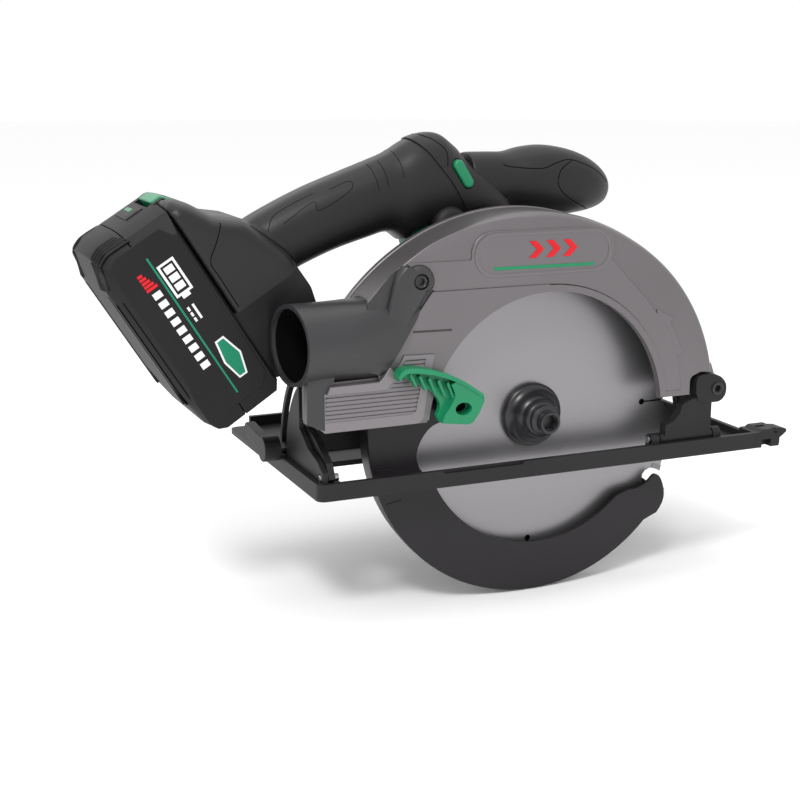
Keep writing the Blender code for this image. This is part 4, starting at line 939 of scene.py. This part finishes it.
def collar():
    """Broad band round the bell of the grip, which carries the lock-off button."""
    rows = [(x, z, heading, thick + 0.7, wide + 0.7) for x, z, heading, thick, wide in BELL_ROWS]
    band = new_object("collar_band", limb(rows, 64, 8))
    region = eased(COLLAR_EDGE, 5) + COLLAR_FRONT + [(-40, 184), (-56, 184)]
    combine(band, "INTERSECT", [prism(region, -30, 30)])
    carve(band, prism(lock_off_outline(0.45), -30, 0), limb(BELL_ROWS, 64, 8))
    soften(band, 0.35, 2, 40)
    dress(band, "shell")
    line = [(-52.4, 178.2), (-45.7, 175.0), (-40.0, 169.2), (-40.3, 161.4)]
    seam("collar_line_r", band, line, -1, 0.3)
    seam("collar_line_l", band, line, 1, 0.3)


def trigger_boss(side):
    """Round swelling of the shell beside the trigger's hinge."""
    tag = "r" if side < 0 else "l"
    profile = [(0.01, 10), (9.8, 10), (9.8, 16.2), (9.2, 18.2), (7.8, 19.6), (5.6, 20.4), (3.0, 20.8),
               (0.01, 20.9)]
    bm = turned([(r, side * y) for r, y in profile], (-37.5, 130.6), 48)
    piece("trigger_boss_" + tag, bm, "rubber")


def trigger_and_button():
    trigger_boss(-1)
    trigger_boss(1)
    outline = eased([(-57.2, 124), (-57.4, 119), (-52.6, 113.7), (-46, 113.2), (-40.4, 117), (-36.4, 124)], 5)
    outline += [(-36.2, 134), (-40, 136.6), (-54, 130.4)]
    piece("trigger_blade", prism(outline, -7.9, 7.9), "green", "trigger", 1.2, ["trigger"])
    piece("lock_pill", prism(lock_off_outline(-0.1), -20.2, -6), "green", "lock_off", 1.4,
          ["lock_off_button"])


# Battery

def battery_outline(inset):
    u0, u1 = BATTERY_U
    n0, n1 = BATTERY_N
    return [(u0 + inset, n0 + 11), (u0 + 3 + inset * 0.8, n0 + 4 + inset * 0.6), (u0 + 20, n0 + inset),
            (-130, n0 + inset), (-117, n0 + 1.0 + inset * 0.55), (-105, n0 + 2.6 + inset * 0.25),
            (-99.6, n0 + 5.6 + inset * 0.1), (u1 + 0.6 - inset * 0.08, n0 + 10.5),
            (u1 - inset * 0.08, -108.5), (-101.0, n1 - inset * 0.4), (u0 + inset, n1 - inset * 0.4)]


def battery_levels(low_n, high_n):
    """Skin of the pack between two levels of N, chamfered towards its two sides."""
    rings = []
    half = BATTERY_HALF
    side = [(6.0, 9.0, half), (5.4, 8.2, half - 0.7), (2.0, 5.4, half - 3.8), (0.0, 3.6, half - 7),
            (0.0, 1.4, half - 16), (0.0, 0.3, half - 26)]
    for inset, shift, y in [(inset, shift, -y) for inset, shift, y in side] + side[::-1]:
        level = [(u + shift * min(max((-184 - u) / 20, 0.0), 1.0), min(max(n, low_n), high_n))
                 for u, n in battery_outline(inset)]
        rings.append(battery_ring(level, y))
    return stack(rings)


def crest_outline(end, bottom):
    return [(end, bottom), (end, -99.6), (end + 5.6, -94.6), (-200, -94.6), (-200, bottom)]


def battery():
    """The pack's two shells, its tongue and crest, and the release button between the crest's cheeks."""
    for name, node, low, high in (("pack_lower", "battery_bottom", -200, BATTERY_SPLIT - 0.15),
                                  ("pack_upper", "battery_top", BATTERY_SPLIT + 0.15, BATTERY_N[1])):
        shell = new_object(name, battery_levels(-200, 0))
        cut_low = battery_box((-240, -60), (low - 100, low), (-60, 60))
        cut_high = battery_box((-240, -60), (high, high + 100), (-60, 60))
        carve(shell, cut_low, cut_high)
        if node == "battery_top":
            weld(shell, *tongue_shapes(0, (-198.6, -108)))
            for a, b in ((-17, -13.6), (13.6, 17)):
                weld(shell, battery_prism(crest_outline(-206.6, -105), a, b))
            carve(shell, battery_box((-212, -199.9), (-108.2, -90), (-13.3, 13.3)))
        soften(shell, 0.9 if node == "battery_bottom" else 0.6, 3, 30)
        dress(shell, "pack", "battery", [node])
    piece("release_pad", battery_prism(crest_outline(-207.5, -105.2), -12.8, 12.8), "green",
          "battery_release", 0.9, ["battery_release"], segments=3)
    battery_side(-1)
    battery_side(1)
    battery_end()


def print_row(name, count, first, pitch, wide, low, high):
    """Equal white prints in a row along U."""
    starts = [first + pitch * k for k in range(count)]
    return [(f"{name}_{k}", rect(u, low, u + wide, high), PRINT_RISE, "white") for k, u in enumerate(starts)]


def put_prints(prints, side, tag):
    for name, outline, rise, finish in prints:
        y = sorted((side * BATTERY_HALF, side * (BATTERY_HALF + rise)))
        piece(f"{name}_{tag}", battery_prism(outline, *y), finish, "battery")


def battery_side(side):
    """Prints on one side of the pack, drawn in U and N, and grooves along its bottom chamfer."""
    tag = "r" if side < 0 else "l"
    half = BATTERY_HALF
    face = [(-197, -144), (-188, -143.4), (-128, -143.4), (-114, -141.6), (-104.4, -135), (-104.4, -113),
            (-110, -107.6), (-192, -107.6), (-200.4, -113), (-200.4, -138)]
    y = sorted((side * (half - 0.6), side * (half + 0.25)))
    piece(f"side_face_{tag}", battery_prism(face, *y), "pack", "battery", 0.5)
    charge = [rect(u, -134.6, u + 1.45, -134.6 + tall)
              for u, tall in [(-187.0 + 2.0 * k, 2.6 + 0.9 * k) for k in range(5)]]
    badge = [(-138.1, -115.8), (-126.4, -112.6), (-115.2, -115.8), (-115.2, -120.6), (-126.2, -123.0),
             (-138.0, -121.0)]
    badge_fill = [(-137.1, -116.5), (-126.4, -113.6), (-116.2, -116.5), (-116.2, -119.9), (-126.2, -122.0),
                  (-137.0, -120.2)]
    put_prints([("side_line", rect(-191.7, -125.1, -109.8, -126.1), PRINT_RISE, "green_dark"),
                *[(f"charge_bar_{k}", bar, PRINT_RISE, "red") for k, bar in enumerate(charge)],
                ("badge_edge", badge, PRINT_RISE, "white"), ("badge_fill", badge_fill, 0.5, "green_dark"),
                *print_row("cell_row", 9, -175.6, 5.3, 3.4, -133.4, -128.8)], side, tag)
    for k, (n, y, radius) in enumerate(((-146.4, half - 2.8, 0.5), (-149.3, half - 6.0, 0.45))):
        path = [place(battery_point(u, n), side * y) for u in (-180, -160, -140, -118)]
        piece(f"chamfer_groove_{k}_{tag}", tube_mesh(path, radius, 10), "seam", "battery")
    cell = [(-185.4, -124.2, -167, -123.0), (-185.4, -115.8, -167, -114.6), (-185.4, -123.6, -184.2, -115.2),
            (-168.2, -123.6, -167, -115.2), (-167.2, -121.6, -165.0, -117.2)]
    put_prints([("direct_line", rect(-160.4, -118.9, -152.0, -120.1), PRINT_RISE, "white"),
                *print_row("direct_dash", 3, -160.4, 3.1, 2.2, -121.8, -123.0),
                *[(f"cell_symbol_{k}", rect(*bar), PRINT_RISE + 0.01 * k, "white")
                  for k, bar in enumerate(cell)],
                *print_row("cell_level", 3, -183.0, 4.8, 3.6, -121.9, -116.9)], side, tag)


def battery_end():
    """Charge window and grip ridges on the pack's upper end."""
    u0 = BATTERY_U[0] + 0.1
    window = rect(u0 - 0.35, -120, u0 + 0.6, -110.0)
    piece("charge_window", battery_prism(window, -12, 12), "rubber", "battery", 0.2)
    lamp = rect(u0 - 0.6, -115.2, u0, -112.8)
    piece("charge_lamp", battery_prism(lamp, -2, 9), "green", "battery", 0.1)
    for k in range(4):
        y = -10 + 2.1 * k
        tick = rect(u0 - 0.6, -118.4, u0, -112.4)
        piece(f"charge_tick_{k}", battery_prism(tick, y, y + 0.9), "nozzle", "battery", 0.1)
    for side in (-1, 1):
        tag = "r" if side < 0 else "l"
        for k in range(5):
            y = side * (BATTERY_HALF - 5.5 - 2.7 * k)
            back, drop = ((4.4, 1.2), (3.3, 0.6), (2.65, 0.3), (2.0, 0.1), (1.4, 0.0))[k]
            path = [(u0 + 19, -150.0 + drop), (u0 + 11 + 0.5 * back, -147.8 + drop),
                    (u0 + 3.2 + back, -145.8), (u0 + 0.5 + back, -141.5), (u0 + back, -137),
                    (u0 + back + 0.2, -127 - k)]
            rail = tube_mesh(battery_ring(eased(path, 5), y), 0.75)
            piece(f"grip_ridge_{k}_{tag}", rail, "pack", "battery")
        channel = rect(-184, -150.35, -118, -149)
        y = sorted((side * (BATTERY_HALF - 14), side * (BATTERY_HALF - 9.5)))
        piece(f"bottom_rail_{tag}", battery_prism(channel, *y), "pack", "battery", 0.3)


# Base

def base_plate():
    """Flanged plate with its long opening, front block and nose, and two barrels for the tilt pins."""
    plate = new_object("base_pan", prism(round_box((BASE_X[0], BASE_Y[0]), (BASE_X[1], BASE_Y[1]), 4.5, 6),
                                         0, BASE_THICK, "Z"))
    inner = round_box((BASE_X[0] + 3, BASE_Y[0] + 3), (BASE_X[1] - 3, BASE_Y[1] - 3), 2.5, 5)
    slot = round_box((-112, -54), (103, -6), 3, 5)
    carve(plate, prism(inner, 3, 30, "Z"), prism(slot, -10, 30, "Z"), box((-140, 55, 3), (-120, 95, 30)))
    carve(plate, box((130, -49, 7.0), (150, 80, 30)))
    block = [(132.6, 0.0), (149.6, 0.0), (150, 2.0), (150, 9.0), (148.6, 10.5), (138.4, 10.5), (136.0, 9.0),
             (132.6, 9.0)]
    nose = [(149, 1.6), (154.6, 5.2), (157, 7.0), (156.6, 8.6), (154.5, 9.4), (149, 10.0)]
    weld(plate, prism(block, -65, -50), prism(nose, -62, -52))
    notch = [(144, 12), (151, 12), (151, 7.6), (146.4, 7.6)]
    carve(plate, box((137.6, -70, -5), (144.0, -60, 4.6)), prism(notch, -66, -63.2))
    barrel = [(TILT_YZ[0] - TILT_R, 1), (TILT_YZ[0] + TILT_R, 1)] + arc(TILT_YZ, TILT_R, 0, 180, 20)
    for x in (66, 106.5):
        weld(plate, prism(barrel, x, x + 5, "X"))
    carve(plate, cylinder(TILT_YZ, TILT_BORE, 60, 120, 24, "X"))
    carve(plate, prism([(-62, 7.4), (-17, 7.4), (-14.5, 9.6), (-64.5, 9.6)], -66, -62.9))
    soften(plate, 0.55, 3)
    dress(plate, "base", "base", ["base_plate"])
    # A flat near-black plate on top of the nose stands in for the sight slot: painted shade of its depth.
    mark = round_box((138.6, -58.2), (144.6, -55.6), 1.2, 4)
    piece("nose_slot", prism(mark, 10.2, 10.62, "Z"), "seam", "base")
    for k in range(9):
        x = -20 + 12 * k
        long = 8 if k % 4 == 0 else 4.5
        piece(f"base_scale_{k}", prism(rect(x, 3.0, x + 0.5, 3.25), -61.4, -61.4 + long), "white", "base")
    for name, y in (("base_rib_near", 16), ("base_rib_far", 64)):
        rib = round_box((-100, y), (100, y + 3.5), 1.7, 5)
        piece(name, prism(rib, 2.8, 4.6, "Z"), "base", "base", 0.5)


def front_ear():
    """Rounded block on the near leg, with the hexagon-socket head of the depth pivot."""
    outer = eased([(95.4, 30.4), (93.6, 36), (93.8, 42.6), (96.4, 45.0), (104.0, 45.2), (109.8, 43.2),
                   (113.4, 38.6), (113.2, 33.0), (110.0, 29.6), (105.6, 29.0), (99.5, 29.4)], 5)
    leg = [(104.6, 30.4), (104.6, 8.2), (74.6, 8.2), (74.6, 18.4), (79.8, 20.4), (83.6, 24.2), (85.4, 29.4),
           (92.0, 32.0), (97.4, 33.0)]
    ear = new_object("pivot_ear", prism(leg, -61.0, -55.2))
    weld(ear, prism(outer, -61.6, -54.8))
    far_ear = arc(PIVOT, 8.3, -60, 180, 30) + [(102, 20), (112, 14)]
    weld(ear, prism(far_ear, -32.5, -27), prism(rect(101.6, 14, 105.2, 28), -56, -28),
         cylinder(TILT_YZ, TILT_R, 71.9, 105.5, 32, "X"))
    carve(ear, cylinder(TILT_YZ, TILT_BORE, 60, 115, 24, "X"), cylinder(PIVOT, PIVOT_R, -70, -20, 24))
    soften(ear, 0.9, 3)
    dress(ear, "base", "bevel_frame", ["front_bracket"])
    profile = [(0.01, -61.6), (0.01, -25), (3, -25), (3, -61.5), (3.6, -61.7), (3.6, -62.2), (3.2, -62.4),
               (2.7, -62.4), (2.6, -62.1)]
    piece("pivot_socket", turned(profile, PIVOT, 48), "oxide", "bevel_frame", 0, ["depth_pivot_bolt"],
          cut=[cylinder(PIVOT, 2.2, -66, -59.6, 6)])


# Motor side

def motor_shell():
    """Ribbed motor housing with cooling slots and a domed end cap."""
    profile = [(31, -3.7), (34, -3.7), (34, 3.4), (33.4, 4.2), (33.4, 11.6), (34, 12.4), (34, 44.4),
               (33.2, 45.4), (33.2, 47.6), (34, 48.4), (34, 50.0), (31, 50.0)]
    shell = new_object("motor_skin", turned(profile, MOTOR, 96))
    cuts = [radial_cut(118 + 13 * k, 33.5, 4.0, span, 1.3)
            for span in ((14, 26), (30, 42)) for k in range(11)]
    carve(shell, *cuts, solver="MANIFOLD")
    soften(shell, 0.35)
    dress(shell, "shell", "saw_body", ["motor_housing"])
    dome = [(9.9, 50.7), (12.4, 50.7), (12.4, 58.5), (25, 58.5), (31, 50.4), (34, 50.3), (33.9, 52.4),
            (33.0, 55.0), (30.4, 58.2), (26.4, 60.6), (21.0, 61.6), (14.4, 62.0), (13.6, 61.3), (12.8, 61.3),
            (12.0, 62.0), (0.01, 62.2), (0.01, 58.5), (9.9, 58.5)]
    piece("motor_cap", turned(dome, MOTOR, 96), "shell", "saw_body", 0, ["motor_end_cap"],
          cut=[radial_cut(22.5 * k, 20.5, 5.0, (52, 70), 1.25) for k in range(16)])
    piece("motor_band", turned(rect(33.6, 27.3, 34.5, 28.7), MOTOR, 96), "green", "saw_body", 0.2)


def radial_cut(angle, distance, half_long, along, half_wide):
    """A slot that points away from the motor's axis."""
    a = radians(angle)
    out = Vector((cos(a), sin(a)))
    side = Vector((-sin(a), cos(a))) * half_wide
    centre = Vector(MOTOR) + out * distance
    outline = [centre + out * half_long + side, centre - out * half_long + side,
               centre - out * half_long - side, centre + out * half_long - side]
    return prism([tuple(p) for p in outline], *along)


# CAD nodes that stay in sight: their finish and the width that their edges are rounded to.
CARRIED = {
    "bevel_quadrant": ("base", 0.35), "rear_bracket": ("base", 0.35), "bevel_lever": ("base", 0.8),
    "depth_lever": ("base", 0.8), "depth_link": ("base", 0.3), "link_screw": ("steel", 0.3),
    "bevel_bolt": ("steel", 0.3), "depth_bolt": ("steel", 0.3), "bevel_pin_front": ("steel", 0.2),
    "bevel_pin_rear": ("steel", 0.2), "gear_case": ("cast", 0.8), "spindle_lock": ("green", 0.4),
}
# CAD nodes inside the housings, by finish; the rest of them are black steel.
INNER = {
    "steel": ("guard_retainer", "guard_spring", "inner_flange", "spindle", "spindle_gear", "rotor_shaft",
              "rotor_core", "spindle_bearing_near", "spindle_bearing_far", "rotor_bearing_front",
              "rotor_bearing_rear"),
    "shell": ("cooling_fan", "switch", "terminal_block"),
    "wrap": tuple(f"cell_pair_{k}" for k in range(1, 6)),
    "rubber": ("guard_stop",), "copper": ("stator",), "board": ("control_board",),
}


def carry_rest():
    """Give every CAD node that no piece stands for a finish of its own."""
    replaced = set()
    for obj in bpy.data.objects:
        replaced.update(obj.get("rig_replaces", ()))
    inner = {node: finish for finish, nodes in INNER.items() for node in nodes}
    for node in sorted(set(frame["nodes"]) - replaced):
        carry(node, *CARRIED.get(node, (inner.get(node, "oxide"), 0.0)))


# Floor, light and camera

def stage():
    """Pale floor under the lowest point of the lower guard."""
    bm = bmesh.new()
    bmesh.ops.create_circle(bm, cap_ends=True, segments=96, radius=FLOOR_R)
    bmesh.ops.translate(bm, vec=(0, 0, FLOOR_Z), verts=bm.verts)
    plane = new_object("floor", bm)
    material = bpy.data.materials.new("floor")
    material.use_nodes = True
    feed(material.node_tree.nodes["Principled BSDF"],
         {"Base Color": (0.965, 0.965, 0.965, 1.0), "Roughness": 0.8, "Specular IOR Level": 0.1,
          "Emission Color": (1.0, 1.0, 1.0, 1.0), "Emission Strength": 0.01})
    plane.data.materials.append(material)


def area_light(name, spot, target, size, power):
    """A soft rectangular lamp; places and sizes in metres, power in watts."""
    light = bpy.data.lights.new(name, "AREA")
    light.shape = "RECTANGLE"
    light.size, light.size_y = size
    light.energy = power
    lamp = bpy.data.objects.new(name, light)
    lamp.location = spot
    lamp.rotation_euler = (Vector(target) - Vector(spot)).to_track_quat("-Z", "Y").to_euler()
    bpy.context.scene.collection.objects.link(lamp)


def studio():
    bpy.context.scene.view_settings.view_transform = "Standard"
    world = bpy.data.worlds.new("studio")
    bpy.context.scene.world = world
    world.use_nodes = True
    feed(world.node_tree.nodes["Background"], {"Color": (1.0, 1.0, 1.0, 1.0), "Strength": 1.0})
    area_light("key", (-0.6, -0.8, 1.1), (0, 0, 0.05), (0.3, 0.3), 10)
    area_light("top", (0.0, 0.1, 1.3), (0, 0, 0.05), (1.2, 0.8), 2.5)
    area_light("back", (-0.3, 1.2, 0.9), (0, 0, 0.1), (1.2, 0.6), 2)
    data = bpy.data.cameras.new("camera")
    data.lens = CAMERA_LENS
    data.sensor_width = 36.0
    data.clip_start = 0.01
    camera = bpy.data.objects.new("camera", data)
    camera.location = CAMERA_AT
    camera.rotation_euler = (radians(90 - CAMERA_DOWN), 0.0, radians(CAMERA_HEADING))
    bpy.context.scene.collection.objects.link(camera)
    bpy.context.scene.camera = camera


# Build

upper_guard()
chute()
dust_nozzle()
lower_guard()
guard_lever()
blade()
flange()
handle_right = handle_half("handle_skin_right", -1, ["handle_right"])
handle_left = handle_half("handle_skin_left", 1, ["handle_left"])
front_skin = front_handle()
handle_details(handle_right, handle_left, front_skin)
collar()
trigger_and_button()
battery()
base_plate()
front_ear()
motor_shell()
carry_rest()
stage()
studio()
